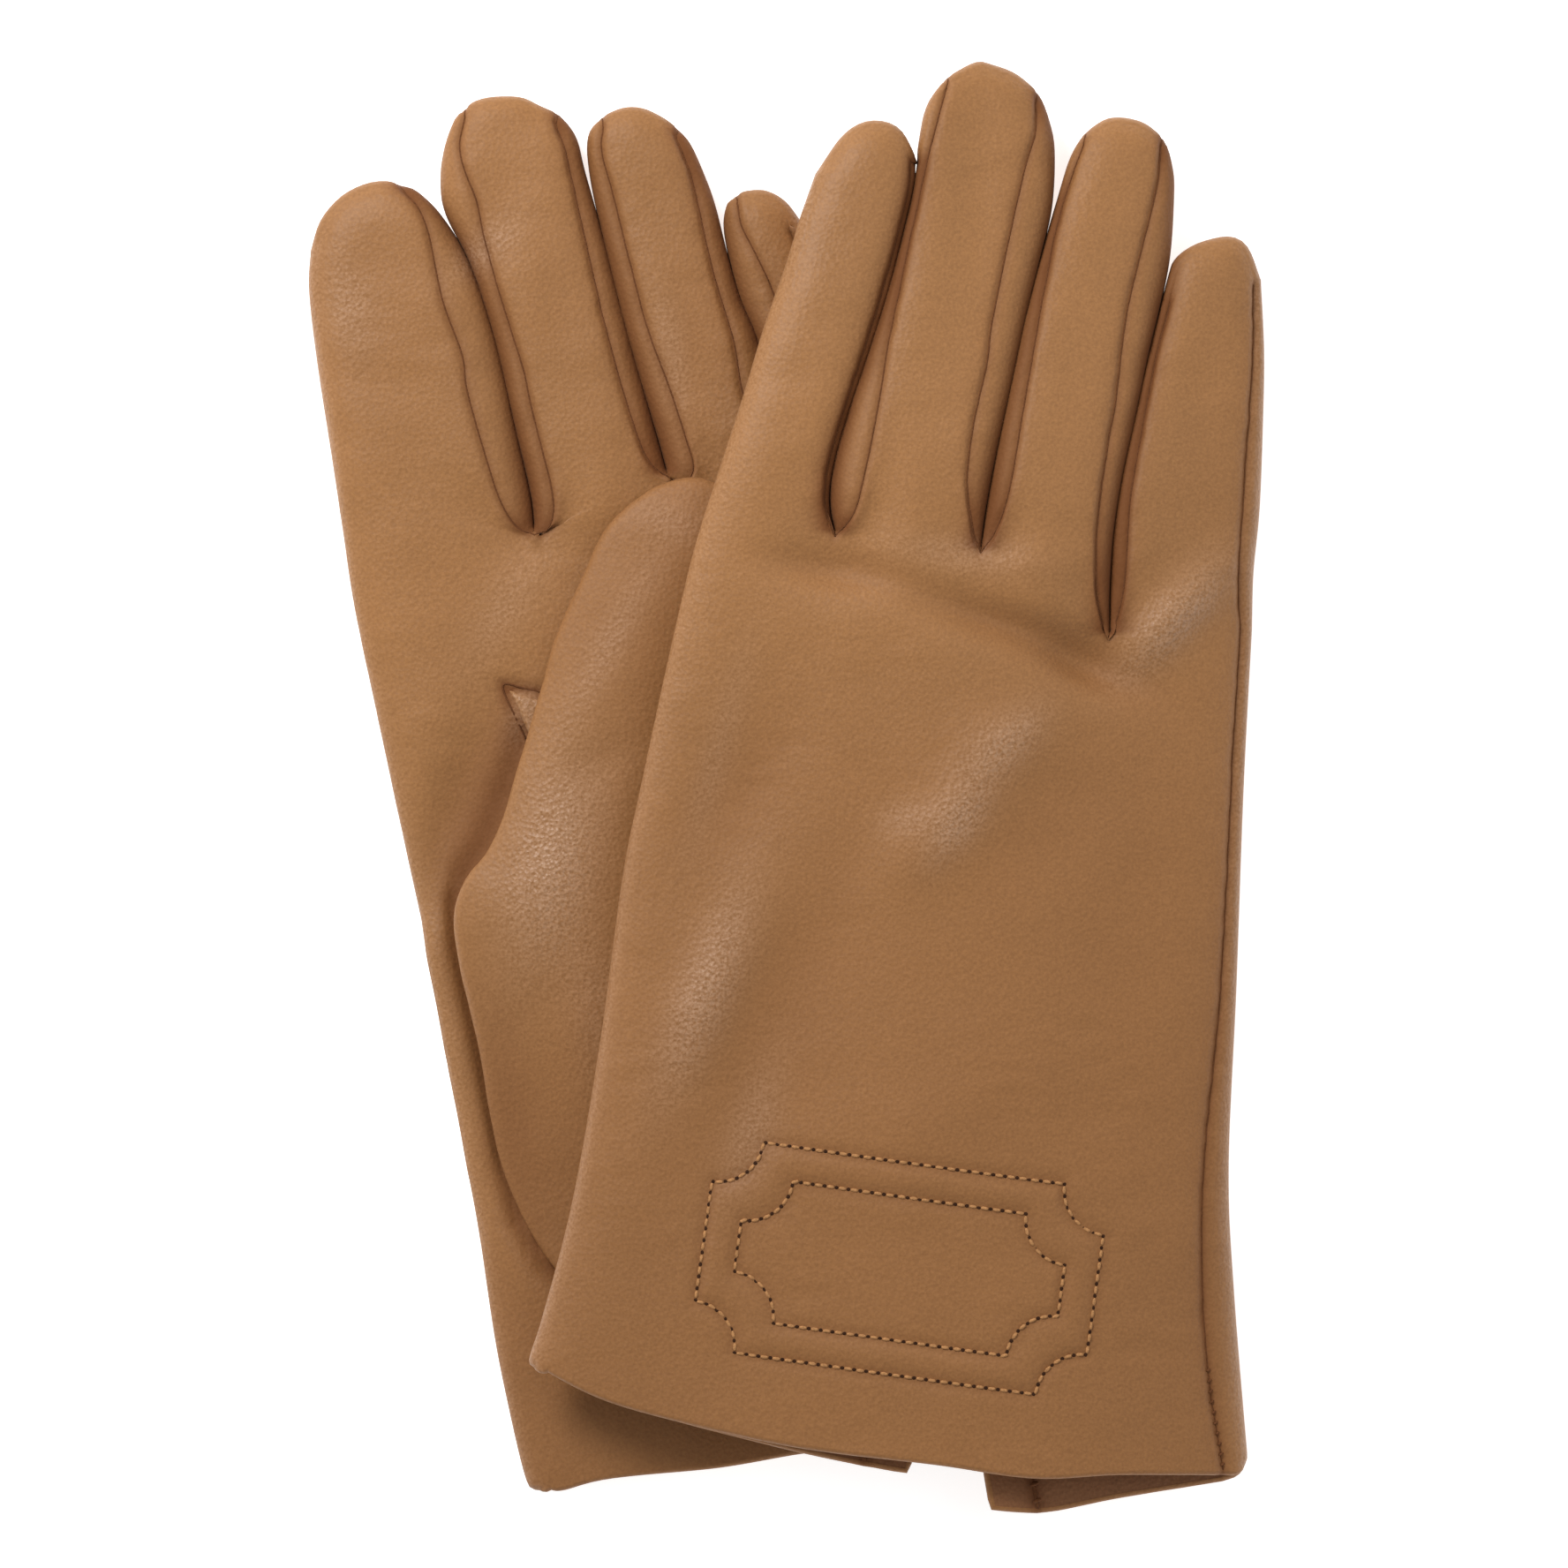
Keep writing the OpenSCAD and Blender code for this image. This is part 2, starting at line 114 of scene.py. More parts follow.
LEFT = {
    "hand_edge": (
        [(-44, -126.2), (-46.6, -122), (-51.3, -100.4), (-54.4, -79.4), (-57.4, -61.2), (-62.3, -35.5),
         (-67.4, -12.1), (-71.5, 7.6), (-76.4, 30.8), (-78.8, 46)],
        [(64, -105), (58, -85), (52, -50), (44, -10), (36, 20), (28, 38)]),
    "side_seam": [(60.5, -105.6), (54.6, -85), (48.6, -50), (40.8, -10), (33, 18), (25.5, 37)],
    "crotches": [(-44.6, 43.8), (-20.9, 54.1), (1, 48)],
    "hem": [(-40, -124.2), (-31.5, -122), (-11.8, -120), (4.5, -117.3), (35, -111.2),
            (60.5, -105.6)],
    "palm_hem": ([(-40, -124.2), (-31.5, -122), (-11.8, -120), (4.5, -117.3),
                  (20.5, -115.6)], [(35.6, -113.4), (48, -108.6), (60.5, -105.6)]),
    "vent_top": (26, -74),
    "edges": [
        ([(-80.6, 58), (-83.2, 74.9), (-84.6, 87.3), (-84.3, 94.4)],
         [(-45.4, 51), (-48, 62.5), (-51.8, 79.1), (-56.1, 92.1), (-60.9, 100.4),
          (-65.2, 104.8), (-68.2, 106.2)]),
        ([(-45.2, 51), (-47.8, 62.5), (-51.6, 79.1), (-55.9, 92.1), (-60.4, 101.2),
          (-61.3, 107.4), (-60.6, 112.8), (-58.9, 117.5), (-57.2, 119.6)],
         [(-23.2, 62), (-28.1, 79), (-32.3, 95.6), (-35.6, 108), (-37.2, 114.4),
          (-40.1, 118.6)]),
        ([(-23, 62), (-27.9, 79), (-32.1, 95.6), (-34.9, 108), (-35.2, 114.6),
          (-33, 118.1)],
         [(-1.1, 62), (-5, 77.8), (-8.4, 86), (-10.7, 94), (-12.6, 102.1), (-14.2, 107),
          (-16.7, 112.8), (-18.9, 115.9)]),
        ([(-0.9, 62), (-4.8, 77.8), (-8.2, 86), (-10.4, 94), (-11.2, 99), (-10.6, 102.6),
          (-9.2, 104.2)],
         [(21, 56), (13, 76), (6.5, 92), (2.6, 99.6)]),
    ],
    "tips": [
        [(-84.3, 94.4), (-82.6, 99.7), (-79.1, 103.9), (-74.9, 106.2), (-71.2, 106.8), (-68.2, 106.2)],
        [(-57.2, 119.6), (-55, 121), (-51.8, 121.7), (-47, 121.6), (-43.4, 120), (-40.1, 118.6)],
        [(-33, 118.1), (-29.1, 119.7), (-25.6, 119.7), (-22, 118.1), (-18.9, 115.9)],
        [(-9.2, 104.2), (-7.3, 105), (-3.7, 105.1), (-0.2, 103.2), (2.6, 99.6)],
    ],
    "seams": [
        (None,
         [(-47.8, 45.6), (-50.5, 49.9), (-52.9, 57), (-56.4, 69.4), (-57.2, 75.5),
          (-60.4, 84.3), (-61.8, 90.2), (-63.1, 96.7), (-65, 101.6), (-67.4, 104.6)]),
        ([(-42, 45.2), (-41.1, 49), (-41.9, 54), (-45, 65.9), (-46.5, 73),
          (-49.3, 82), (-53.3, 95.6), (-54.8, 102.8), (-56.8, 108), (-58, 113), (-57, 118)],
         [(-24.2, 57), (-26.8, 62.9), (-31.3, 78.4), (-34.6, 92.7), (-38.7, 111),
          (-40.6, 117)]),
        ([(-18, 53.4), (-16.6, 56), (-18, 61.2), (-20.3, 68.4), (-25, 81.4),
          (-26.9, 88.5), (-31.4, 105.7), (-33, 112), (-32.7, 116.5)],
         [(-3.4, 58), (-7.6, 69), (-9.3, 78.4), (-13.2, 92.1), (-16.4, 107),
          (-19.2, 114.4)]),
        ([(3.6, 58), (1.4, 74), (-2.5, 86.6), (-5.4, 93.2), (-8.2, 98.6), (-8.9, 102.7)],
         [(18.6, 55), (10.6, 75), (4.4, 90.6), (1, 98)]),
    ],
}
GLOVES = {"left": LEFT, "right": RIGHT}
# The thumbs, from root to tip. The left one lies over its own palm; the right one is hidden.
LEFT_THUMB = {
    "left": [(-24, -98), (-33, -94), (-41.5, -85), (-46.3, -77.7), (-50.5, -67.1), (-54.1, -47.9),
             (-57.4, -33), (-58.7, -23), (-56.6, -16.6), (-52.9, -12.1), (-50.2, -6.6), (-46.7, 5.1),
             (-44, 15), (-40.8, 26), (-36.4, 35.6), (-32.2, 44.4), (-27.4, 49.6)],
    "right": [(-18, -97), (-16.4, -80), (-14.8, -50), (-13.6, -24), (-12.2, -5), (-7, 15), (-3.4, 33),
              (-5, 46)],
    "tip": [(-27.4, 49.6), (-22.4, 52.8), (-16, 53.9), (-9.6, 51.6), (-5, 46)],
}
RIGHT_THUMB = {
    "left": [(-5, -58), (-6.6, -40), (-3.6, -10), (0, 15), (2.4, 34)],
    "right": [(17, -58), (18.6, -40), (21.6, -10), (24.4, 15), (25.6, 34)],
    "tip": [(2.4, 34), (7, 41.6), (14.4, 43.8), (21.6, 41), (25.6, 34)],
}

# ---------------------------------------------------------------- heights, in millimetres
LEFT_PALM_T = 7.2
LEFT_FINGER_T = 9.2
RIGHT_PALM_T = 9.2
RIGHT_FINGER_T = 10
THUMB_Z = 7.5
THUMB_T = 7.0
RIDE_H = 14.8
OUTER_EDGE_H = 0.5
DRAPE_X0, DRAPE_X1 = 28, 84.8
# Where each layer starts and ends, measured inwards from the leather's outer face
LEATHER = (0, 0.9)
LINING = (0.95, 1.45)
HEM_FACING = (0.95, 1.85)
VENT_FACING = (0.95, 1.75)
HAND_LINING = (1.9, 2.4)
HEM_ROLL = 0.95


def smoothstep(t):
    t = np.clip(t, 0, 1)
    return t * t * (3 - 2 * t)


def bell(distance, width):
    """1 where a distance is 0, fading to nothing over about twice the width."""
    return np.exp(-(distance / width) ** 2)


def drape(x):
    """Height of the right glove's underside: level over the left glove, then down to the table."""
    u = np.clip((x - DRAPE_X0) / (DRAPE_X1 - DRAPE_X0), 0, 1)
    return OUTER_EDGE_H + (RIDE_H - OUTER_EDGE_H) * np.cos(u * math.pi / 2)


def droop(x, y):
    """How far the right glove's fingers sink beyond the left glove's support."""
    most = np.minimum(4.6 + 5 * smoothstep((x - 20) / 15), 0.8 * (drape(x) - 0.4))
    return most * smoothstep((y - 45) / 85)


def thickness(side, y):
    palm, finger = ((LEFT_PALM_T, LEFT_FINGER_T), (RIGHT_PALM_T, RIGHT_FINGER_T))[side == "right"]
    return palm + (finger - palm) * smoothstep((y - 15) / 50)


def middle_height(side, x, y):
    t = thickness(side, y)
    if side == "left":
        return t / 2
    return drape(x) - droop(x, y) + t / 2


# ---------------------------------------------------------------- curves and patches
def spline(points, fractions):
    """Points at these fractions of the length of a smooth curve through the given points."""
    p = np.array(points, float)
    ends = np.vstack([2 * p[0] - p[1], p, 2 * p[-1] - p[-2]])
    t = np.linspace(0, 1, 24, endpoint=False)[:, None]
    fine = []
    for k in range(len(p) - 1):
        a, b, c, d = ends[k:k + 4]
        fine.append(0.5 * (2 * b + (c - a) * t + (2 * a - 5 * b + 4 * c - d) * t ** 2
                           + (3 * b - a - 3 * c + d) * t ** 3))
    fine = np.vstack(fine + [p[-1:]])
    run = np.r_[0, np.cumsum(np.linalg.norm(np.diff(fine, axis=0), axis=1))]
    want = np.asarray(fractions) * run[-1]
    return np.stack([np.interp(want, run, fine[:, k]) for k in (0, 1)], 1)


def inset(curve, distance):
    """The curve moved to its right by a distance, or by one distance for each point."""
    along = np.gradient(curve, axis=0)
    along /= np.linalg.norm(along, axis=1)[:, None]
    return curve + np.reshape(distance, (-1, 1)) * np.stack([along[:, 1], -along[:, 0]], 1)


def coons(left, right, bottom, top, u, v):
    """A patch of points between four curves that meet at their ends."""
    u, v = u[None, :, None], v[:, None, None]
    sides = (1 - u) * left[:, None] + u * right[:, None]
    rows = (1 - v) * bottom[None] + v * top[None]
    corners = ((1 - v) * ((1 - u) * bottom[0] + u * bottom[-1])
               + v * ((1 - u) * top[0] + u * top[-1]))
    return sides + rows - corners


def dense(curves, step=0.2):
    """Points every step along some polylines, flat ones at height 0."""
    marks = []
    for curve in curves:
        p = np.asarray(curve, float)
        if p.shape[1] == 2:
            p = np.c_[p, np.zeros(len(p))]
        run = np.r_[0, np.cumsum(np.linalg.norm(np.diff(p, axis=0), axis=1))]
        want = np.linspace(0, run[-1], max(2, int(run[-1] / step) + 1))
        marks.append(np.stack([np.interp(want, run, p[:, k]) for k in range(3)], 1))
    return np.vstack(marks)


def tree_of(marks):
    tree = KDTree(len(marks))
    for k, mark in enumerate(marks):
        tree.insert(mark, k)
    tree.balance()
    return tree


def distance_to(points, curves):
    """Distance of each point to the nearest of some polylines."""
    tree = tree_of(dense(curves))
    flat = points.reshape(-1, points.shape[-1])
    if flat.shape[1] == 2:
        flat = np.c_[flat, np.zeros(len(flat))]
    return np.array([tree.find(p)[2] for p in flat]).reshape(points.shape[:-1])


def rounded(d, radius, power=2.4):
    """How a puffed edge rises from 0 at the edge to 1 at a distance of radius."""
    t = 1 - np.clip(d / radius, 0, 1)
    return (1 - t ** power) ** (1 / power)


def column_fractions(width):
    """Columns across a finger, closer together beside its two seams."""
    near = np.array([0, 0.35, 0.75, 1.2, 1.8, 2.6]) / width
    inner = np.linspace(3.6 / width, 1 - 3.6 / width, 13)
    return np.r_[near, inner, 1 - near[::-1]]


# Angles round a side wall, from the upper seam to the lower one, closer together at the seams
WALL_TOP = math.radians(62)
WALL_STEPS = 16
WALL_POWER = 0.8
wall_angles = WALL_TOP * np.cos(np.pi * np.arange(WALL_STEPS + 1) / WALL_STEPS)


def wall(edge, front, rear, middle):
    """A puffed strip from the front seam over the outer edge to the rear seam."""
    reach = (1 - np.cos(wall_angles) ** WALL_POWER) / (1 - math.cos(WALL_TOP) ** WALL_POWER)
    rise = np.sign(wall_angles) * (np.abs(np.sin(wall_angles)) / math.sin(WALL_TOP)) ** WALL_POWER
    reach, rise = reach[None, :, None], rise[None, :]
    upper = np.arange(WALL_STEPS + 1) <= WALL_STEPS // 2
    seam = np.where(upper[None, :, None], front[:, None, :2], rear[:, None, :2])
    xy = edge[:, None] + (seam - edge[:, None]) * reach
    lift = np.where(upper[None], front[:, None, 2] - middle[:, None], middle[:, None] - rear[:, None, 2])
    return np.dstack([xy, (middle[:, None] + lift * rise)[..., None]])


class Surface:
    """Patches of quads that are joined where their points coincide."""

    def __init__(self):
        self.points, self.faces, self.tags, self.rows, self.columns, self.count = [], [], [], [], [], 0

    def add(self, grid, tag, flip=False, first_column=0):
        high, wide = grid.shape[:2]
        index = self.count + np.arange(high * wide).reshape(high, wide)
        quads = np.stack([index[:-1, :-1], index[:-1, 1:], index[1:, 1:], index[1:, :-1]], -1)
        quads = quads.reshape(-1, 4)
        row, column = np.divmod(np.arange(len(quads)), wide - 1)
        self.faces.append(quads[:, ::-1] if flip else quads)
        self.points.append(grid.reshape(-1, 3))
        self.tags += [tag] * len(quads)
        self.rows.append(row)
        self.columns.append(column + first_column)
        self.count += high * wide

    def join(self):
        """Merges points that coincide, and drops faces that shrink to a line."""
        points, faces = np.vstack(self.points), np.vstack(self.faces)
        _, first, same = np.unique(np.round(points, 3), axis=0, return_index=True, return_inverse=True)
        faces = same.reshape(-1)[faces]
        keep = (faces != np.roll(faces, -1, axis=1)).sum(1) >= 3
        keep &= (faces[:, 0] != faces[:, 2]) & (faces[:, 1] != faces[:, 3])
        self.points, self.faces = points[first], faces[keep]
        self.tags = np.array(self.tags)[keep]
        self.rows = np.concatenate(self.rows)[keep]
        self.columns = np.concatenate(self.columns)[keep]
        self.tree = tree_of(self.points)
        return self

    def normals(self):
        """Normals of the points, weighted by the faces around them."""
        p, f = self.points, self.faces
        face = np.cross(p[f[:, 2]] - p[f[:, 0]], p[f[:, 3]] - p[f[:, 1]])
        total = np.zeros_like(p)
        for k in range(4):
            np.add.at(total, f[:, k], face)
        return total / np.maximum(np.linalg.norm(total, axis=1), 1e-12)[:, None]

    def finish(self):
        """Keeps the normals for shading, and evened ones along which inner layers are set off."""
        self.smooth = self.normals()
        inward = self.smooth
        for _ in range(10):
            face = inward[self.faces].mean(1)
            total = inward * 0.5
            for k in range(4):
                np.add.at(total, self.faces[:, k], face)
            inward = total / np.maximum(np.linalg.norm(total, axis=1), 1e-12)[:, None]
        self.inward = inward

    def indices(self, curve):
        """The points of this surface that lie on a curve of its patches."""
        return [self.tree.find(p)[1] for p in curve]


# ---------------------------------------------------------------- one glove's surface
FINGER_ROWS = 64
HAND_ROWS = 150
finger_rows = np.linspace(0, 1, FINGER_ROWS + 1)
hand_rows = np.linspace(0, 1, HAND_ROWS + 1)
FOLD_INSET = 3.2
TIP_INSET = 1.1
VENT_TOP_SHARE = 0.24
VENT_ACROSS = 0.6
VENT_ROW = int(HAND_ROWS * VENT_TOP_SHARE)
RIDGE_COLUMNS = 4
VALLEY_OVERLAP = 0.35
SHOWN_STITCH_ROWS = 20
PINCH = 8.5
HAND_PINCH, FINGER_PINCH = 0.42, 0.58
# How far in from an edge a glove's upper and lower leather reach their full height
HAND_PUFF = {1: 12, -1: 7}
FINGER_PUFF = {1: 8.5, -1: 7}


def puff(grid, edges, crotches, radius, hand):
    """How far the leather stands off its middle height, from 0 at an edge to 1 well inside."""
    h = rounded(distance_to(grid, edges), radius)
    near = np.min([np.linalg.norm(grid - np.array(c), axis=-1) for c in crotches], axis=0)
    pinch = bell(near, PINCH)
    return h * (1 - HAND_PINCH * pinch) if hand else np.maximum(h, FINGER_PINCH * pinch)


def raised(side, grid, h, up):
    """The patch's points, at the height of the glove's upper or lower leather."""
    x, y = grid[..., 0], grid[..., 1]
    z = middle_height(side, x, y) + up * h * thickness(side, y) / 2
    return np.dstack([grid, z])


def finger_plan(data, k, fold):
    """One finger seen from above: its outer edges, tip and root, and the grid of its leather."""
    hand_left, hand_right = data["hand_edge"]
    edge_roots = [hand_left[-1], *data["crotches"], hand_right[-1]]
    seam_roots = [None, *data["crotches"], data["side_seam"][-1]]

    def from_root(roots, which, curves):
        """A finger's left or right curve, from its root in the hand to the tip."""
        return spline([roots[k + which], *data[curves][k][which]], finger_rows)

    left, right = from_root(edge_roots, 0, "edges"), from_root(edge_roots, 1, "edges")
    touching = VALLEY_OVERLAP * np.sin(np.pi * np.clip(finger_rows * 1.15, 0, 1))
    left[:, 0] -= touching * (k > 0)
    right[:, 0] += touching * (k < 3)
    left_seam = fold[HAND_ROWS:] if k == 0 else from_root(seam_roots, 0, "seams")
    right_seam = from_root(seam_roots, 1, "seams")
    across = column_fractions(np.linalg.norm(left_seam[0] - right_seam[0]))
    tip = spline(data["tips"][k], across)
    top = inset(tip, TIP_INSET)
    top = top + np.outer((1 - across) ** 4, left_seam[-1] - top[0])
    top = top + np.outer(across ** 4, right_seam[-1] - top[-1])
    root = left_seam[0] + np.outer(across, right_seam[0] - left_seam[0])
    grid = coons(left_seam, right_seam, root, top, across, finger_rows)
    return {"left": left, "right": right, "tip": tip, "root": root, "grid": grid}


def hand_patches(side, data, fold, edges, knuckles):
    """The back of the hand, and its palm as two patches that part at the vent."""
    run = np.r_[0, np.cumsum(np.linalg.norm(np.diff(knuckles, axis=0), axis=1))]
    u = run / run[-1]
    back_up = 1 if side == "right" else -1

    def patch(left, right, hem, columns, up):
        """The upper or lower leather between two curves, at its height."""
        share = (u[columns] - u[columns][0]) / (u[columns][-1] - u[columns][0])
        grid = coons(left, right, spline([left[0], *hem], share), knuckles[columns], share, hand_rows)
        return raised(side, grid, puff(grid, edges, data["crotches"], HAND_PUFF[up], True), up)

    back = patch(fold, spline(data["side_seam"], hand_rows), data["hem"], np.s_[:], back_up)
    vent_column = int(np.searchsorted(u, VENT_ACROSS))
    apex, top = np.array(data["vent_top"], float), knuckles[vent_column]
    share = hand_rows[:, None] / VENT_TOP_SHARE
    beyond = np.clip((hand_rows[:, None] - VENT_TOP_SHARE) / (1 - VENT_TOP_SHARE), 0, 1)
    above = apex + beyond * (top - apex)
    hem_left, hem_right = data["palm_hem"]
    cut_left, cut_right = (np.where(share < 1, np.array(end) + share * (apex - np.array(end)), above)
                           for end in (hem_left[-1], hem_right[0]))
    palm_seam = spline([hem_right[-1], *data["side_seam"][1:]], hand_rows)
    palm_left = patch(fold, cut_left, hem_left, np.s_[:vent_column + 1], -back_up)
    palm_right = patch(cut_right, palm_seam, hem_right[1:], np.s_[vent_column:], -back_up)
    return back, palm_left, palm_right, vent_column


def add_finger(surface, side, name, plan, knuckle_heights, crotches):
    """Adds a finger's leather and side walls to the surface, and returns its seams' curves."""
    outline = [plan["left"], plan["right"], plan["tip"]]
    faces = {}
    for face, up in (("front", 1), ("rear", -1)):
        h = puff(plan["grid"], outline, crotches, FINGER_PUFF[up], False)
        grid = raised(side, plan["grid"], h, up)
        gap = knuckle_heights[face] - grid[0, :, 2]
        grid[..., 2] += (1 - smoothstep(finger_rows / 0.25))[:, None] * gap[None]
        surface.add(grid, name, face == "rear")
        faces[face] = grid
    front, rear = faces["front"], faces["rear"]
    over = []
    for edge, where, sewn, flip in ((plan["left"], np.s_[:, 0], name != "index", True),
                                    (plan["tip"], np.s_[-1], False, True),
                                    (plan["right"], np.s_[:, -1], name != "little", False)):
        grid = wall(edge, front[where], rear[where], middle_height(side, edge[:, 0], edge[:, 1]))
        surface.add(grid, name + "_wall" if sewn else name, flip)
        over.append(grid[-1, 1:WALL_STEPS // 2 + 1])
    # The upper seams run on over the tip's shoulders, except beside the little finger's outer fold
    right_seam = front[:, -1] if name == "little" else np.vstack([front[:, -1], over[2]])
    if name == "index":
        return [right_seam, rear[:, -1]]
    left_seam = np.vstack([front[:, 0], over[0]])
    if (side, name) == ("right", "little"):
        left_seam = front[:-4, 0]
    return [right_seam, rear[:, -1], left_seam, rear[:, 0]]


def glove_surface(side):
    """The glove's leather as one surface, with the curves of its seams."""
    data, surface = GLOVES[side], Surface()
    hand_edges = [spline(curve, hand_rows) for curve in data["hand_edge"]]
    index_edge = spline([data["hand_edge"][0][-1], *data["edges"][0][0]], finger_rows)
    up_finger = (np.arange(HAND_ROWS + FINGER_ROWS + 1) - HAND_ROWS) / FINGER_ROWS
    narrowing = (TIP_INSET - FOLD_INSET) * smoothstep(up_finger * 2.5 - 1.5)
    fold = inset(np.vstack([hand_edges[0], index_edge[1:]]), FOLD_INSET + narrowing)
    plans = [finger_plan(data, k, fold) for k in range(4)]
    knuckles = np.vstack([plans[0]["root"]] + [plan["root"][1:] for plan in plans[1:]])
    back, palm_left, palm_right, vent_column = hand_patches(side, data, fold[:HAND_ROWS + 1],
                                                            hand_edges, knuckles)
    surface.add(back, "back", side == "left")
    surface.add(palm_left, "palm", side == "right")
    surface.add(palm_right, "palm", side == "right", vent_column)
    palm = np.hstack([palm_left, palm_right[:, 1:]])
    hand = {"front": back, "rear": palm} if side == "right" else {"front": palm, "rear": back}
    for edge, column, flip in zip(hand_edges, (0, -1), (True, False)):
        middle = middle_height(side, edge[:, 0], edge[:, 1])
        surface.add(wall(edge, hand["front"][:, column], hand["rear"][:, column], middle), "fold", flip)

    ridges = [palm_left[:VENT_ROW, -1 - RIDGE_COLUMNS], palm_right[:VENT_ROW, RIDGE_COLUMNS]]
    seams = {"hand": [hand["front"][:, -1]] + ridges}
    start = 0
    for name, plan in zip(FINGERS, plans):
        stop = start + plan["grid"].shape[1]
        heights = {face: grid[-1, start:stop, 2] for face, grid in hand.items()}
        seams[name] = add_finger(surface, side, name, plan, heights, data["crotches"])
        start = stop - 1
    surface.join()
    surface.seams = {name: [surface.indices(c) for c in curves] for name, curves in seams.items()}
    surface.vent_column = vent_column
    surface.valleys = [plan["right"] for plan in plans[:3]]
    surface.folds = hand_edges + [plans[0]["left"], plans[3]["right"]]
    surface.crotches = data["crotches"]
    return surface


# ---------------------------------------------------------------- folds, dents and stitched lines
# Soft dents and swells on a glove's upper leather: centre, length, width, turn in degrees, height
RIGHT_SWELLS = [
    ((10, 37), 13, 3.2, -8, -1.7), ((35, 29), 13, 3.5, -17, -2.5), ((53, 21), 11, 4.0, -24, -3.4),
    ((67, 29), 12, 4.2, 47, 2.2), ((38, 38), 13, 3.4, 3, 0.8), ((29, -5), 17, 6, 50, 1.7),
    ((39, 9), 9, 5, 20, 0.8), ((-8, -2), 17, 9, 60, -1.5), ((46, -6), 22, 9, 56, -0.8),
    ((-14, -38), 18, 6, 68, 1.5), ((2, -34), 26, 9, 66, -1.0), ((62, -20), 36, 13, 80, -0.8),
    ((30, -56), 34, 11, 24, 0.7), ((-20, 20), 30, 9, 74, 0.5),
]
LEFT_SWELLS = [
    ((-58, -4), 16, 5.5, 74, -2.4), ((-64, 20), 30, 9, 98, 1.0), ((-33, 40), 14, 7, 40, -0.9),
    ((-60, -50), 40, 4, 99, 0.7), ((-30, 50), 9, 6, 30, 0.5), ((-48, 30), 16, 7, 60, 0.7),
    ((-46, 88), 10, 5, 100, 0.7), ((-22, 84), 10, 4, 100, 0.5),
]
# Places rubbed to a satin shine, glossier and with a painted highlight: centre, length, width, turn in
# degrees, how much
RIGHT_GLOSS_AND_SHEEN = [((30, -6), 8, 3.6, 56, 1.0), ((38, 7), 8, 3.8, 42, 0.9), ((21, -6), 5, 3, 10, 0.4),
              ((68, 29), 12, 4, 50, 1.0), ((-14, -36), 17, 4.5, 68, 0.9), ((30, 40), 12, 3, -8, 0.4),
              ((-6, -60), 12, 4, 72, 0.4), ((-12, 6), 18, 3, 74, 0.3)]
LEFT_GLOSS_AND_SHEEN = [((-77, 84), 9, 4, 100, 0.4), ((-54, 94), 8, 3, 40, 0.5), ((-50, 30), 12, 4, 60, 0.3),
             ((-20, 76), 10, 2.5, 100, 0.4), ((-47, 12), 5, 2, 70, 0.5)]
THUMB_GLOSS_AND_SHEEN = [((-41, -14), 17, 7, 76, 1.0), ((-34, -38), 14, 5, 100, 0.35), ((-30, 26), 16, 3, 62, 0.35),
              ((-20, 46), 8, 3, 160, 0.3)]
# The left thumb's swells and dents, and its shadowed lower side
THUMB_SWELLS = [
    ((-42, -17), 20, 9, 76, 1.6), ((-30, 22), 26, 6, 62, 0.6), ((-22, 2), 30, 7, 78, -1.2),
    ((-48, -58), 22, 6, 100, -0.8), ((-33, -60), 26, 5, 98, 0.6), ((-33, 4), 9, 4, 30, -0.5),
]
THUMB_SHADOW = ((-49, -58), 22, 6, 100, 1)
# The sewn edge of the left gusset, on its palm
LEFT_GUSSET_LINE = [(-41.5, 15.8), (-46, 16.8), (-50.2, 17.5), (-48, 12), (-45.6, 6.5)]
# Where the left thumb's boundary presses into its own palm, from its gusset down to the cuff
LEFT_THUMB_FOLD = [(-46, 10), (-50.2, -2), (-53.4, -10), (-57, -16), (-58.9, -21), (-58.2, -28),
                   (-56, -38), (-53.9, -47.9), (-51.9, -58.7), (-50.3, -67.1), (-47, -77),
                   (-41.2, -85), (-33, -92)]
SEAM_DEPTH = 0.5
SEAM_WIDTH = 0.8
# Kinds of waves in the leather: height, squeeze along each axis, size, and a seed for the noise
SOFT_WAVES = {"right": (0.7, (1, 0.55, 1), 30, 1), "left": (0.7, (1, 0.55, 1), 30, 2)}
SMALL_WAVES = (0.2, (1, 1, 1), 10, 3)
CROSS_WRINKLES = (0.28, (0.5, 1, 1), 7, 4)
FINE_WRINKLES = (0.2, (0.3, 1, 1), 2.6, 8)
# Where this one is above 0, the leather has fine wrinkles
WRINKLED_PATCHES = (2.5, (1, 1, 1), 14, 9)
# These fade out over about this width beside a seam
SEAM_PUCKERS = (0.24, (1, 1, 1), 2.6, 5)
PUCKER_WIDTH = 3
THUMB_SOFT_WAVES = (0.4, (1, 1, 1), 20, 6)
THUMB_SMALL_WAVES = (0.2, (1, 1, 1), 7, 7)
# How high the leather stands at a crotch's knot, on the motif's padding and in its stitched lines
KNOT_HEIGHT = {"left": 1.0, "right": 0.3}
PADDING_HEIGHT, PADDING_WIDTH = 0.25, 2.6
MOTIF_DEPTH, MOTIF_WIDTH = 0.45, 1
# How much shade is painted on the leather in and beside the seams, in the motif's lines and in the dents
SEAM_DARK, BESIDE_SEAM_DARK, BESIDE_SEAM_WIDTH = 0.42, 0.16, 2.4
MOTIF_DARK, DENT_DARK, DEEPEST_DENT = 0.22, 0.09, 2.5
# How rubbed the outer folds are: glossier, with a painted highlight along them
FOLD_GLOSS_AND_SHEEN, FOLD_GLOSS_AND_SHEEN_WIDTH = 0.4, 1.8


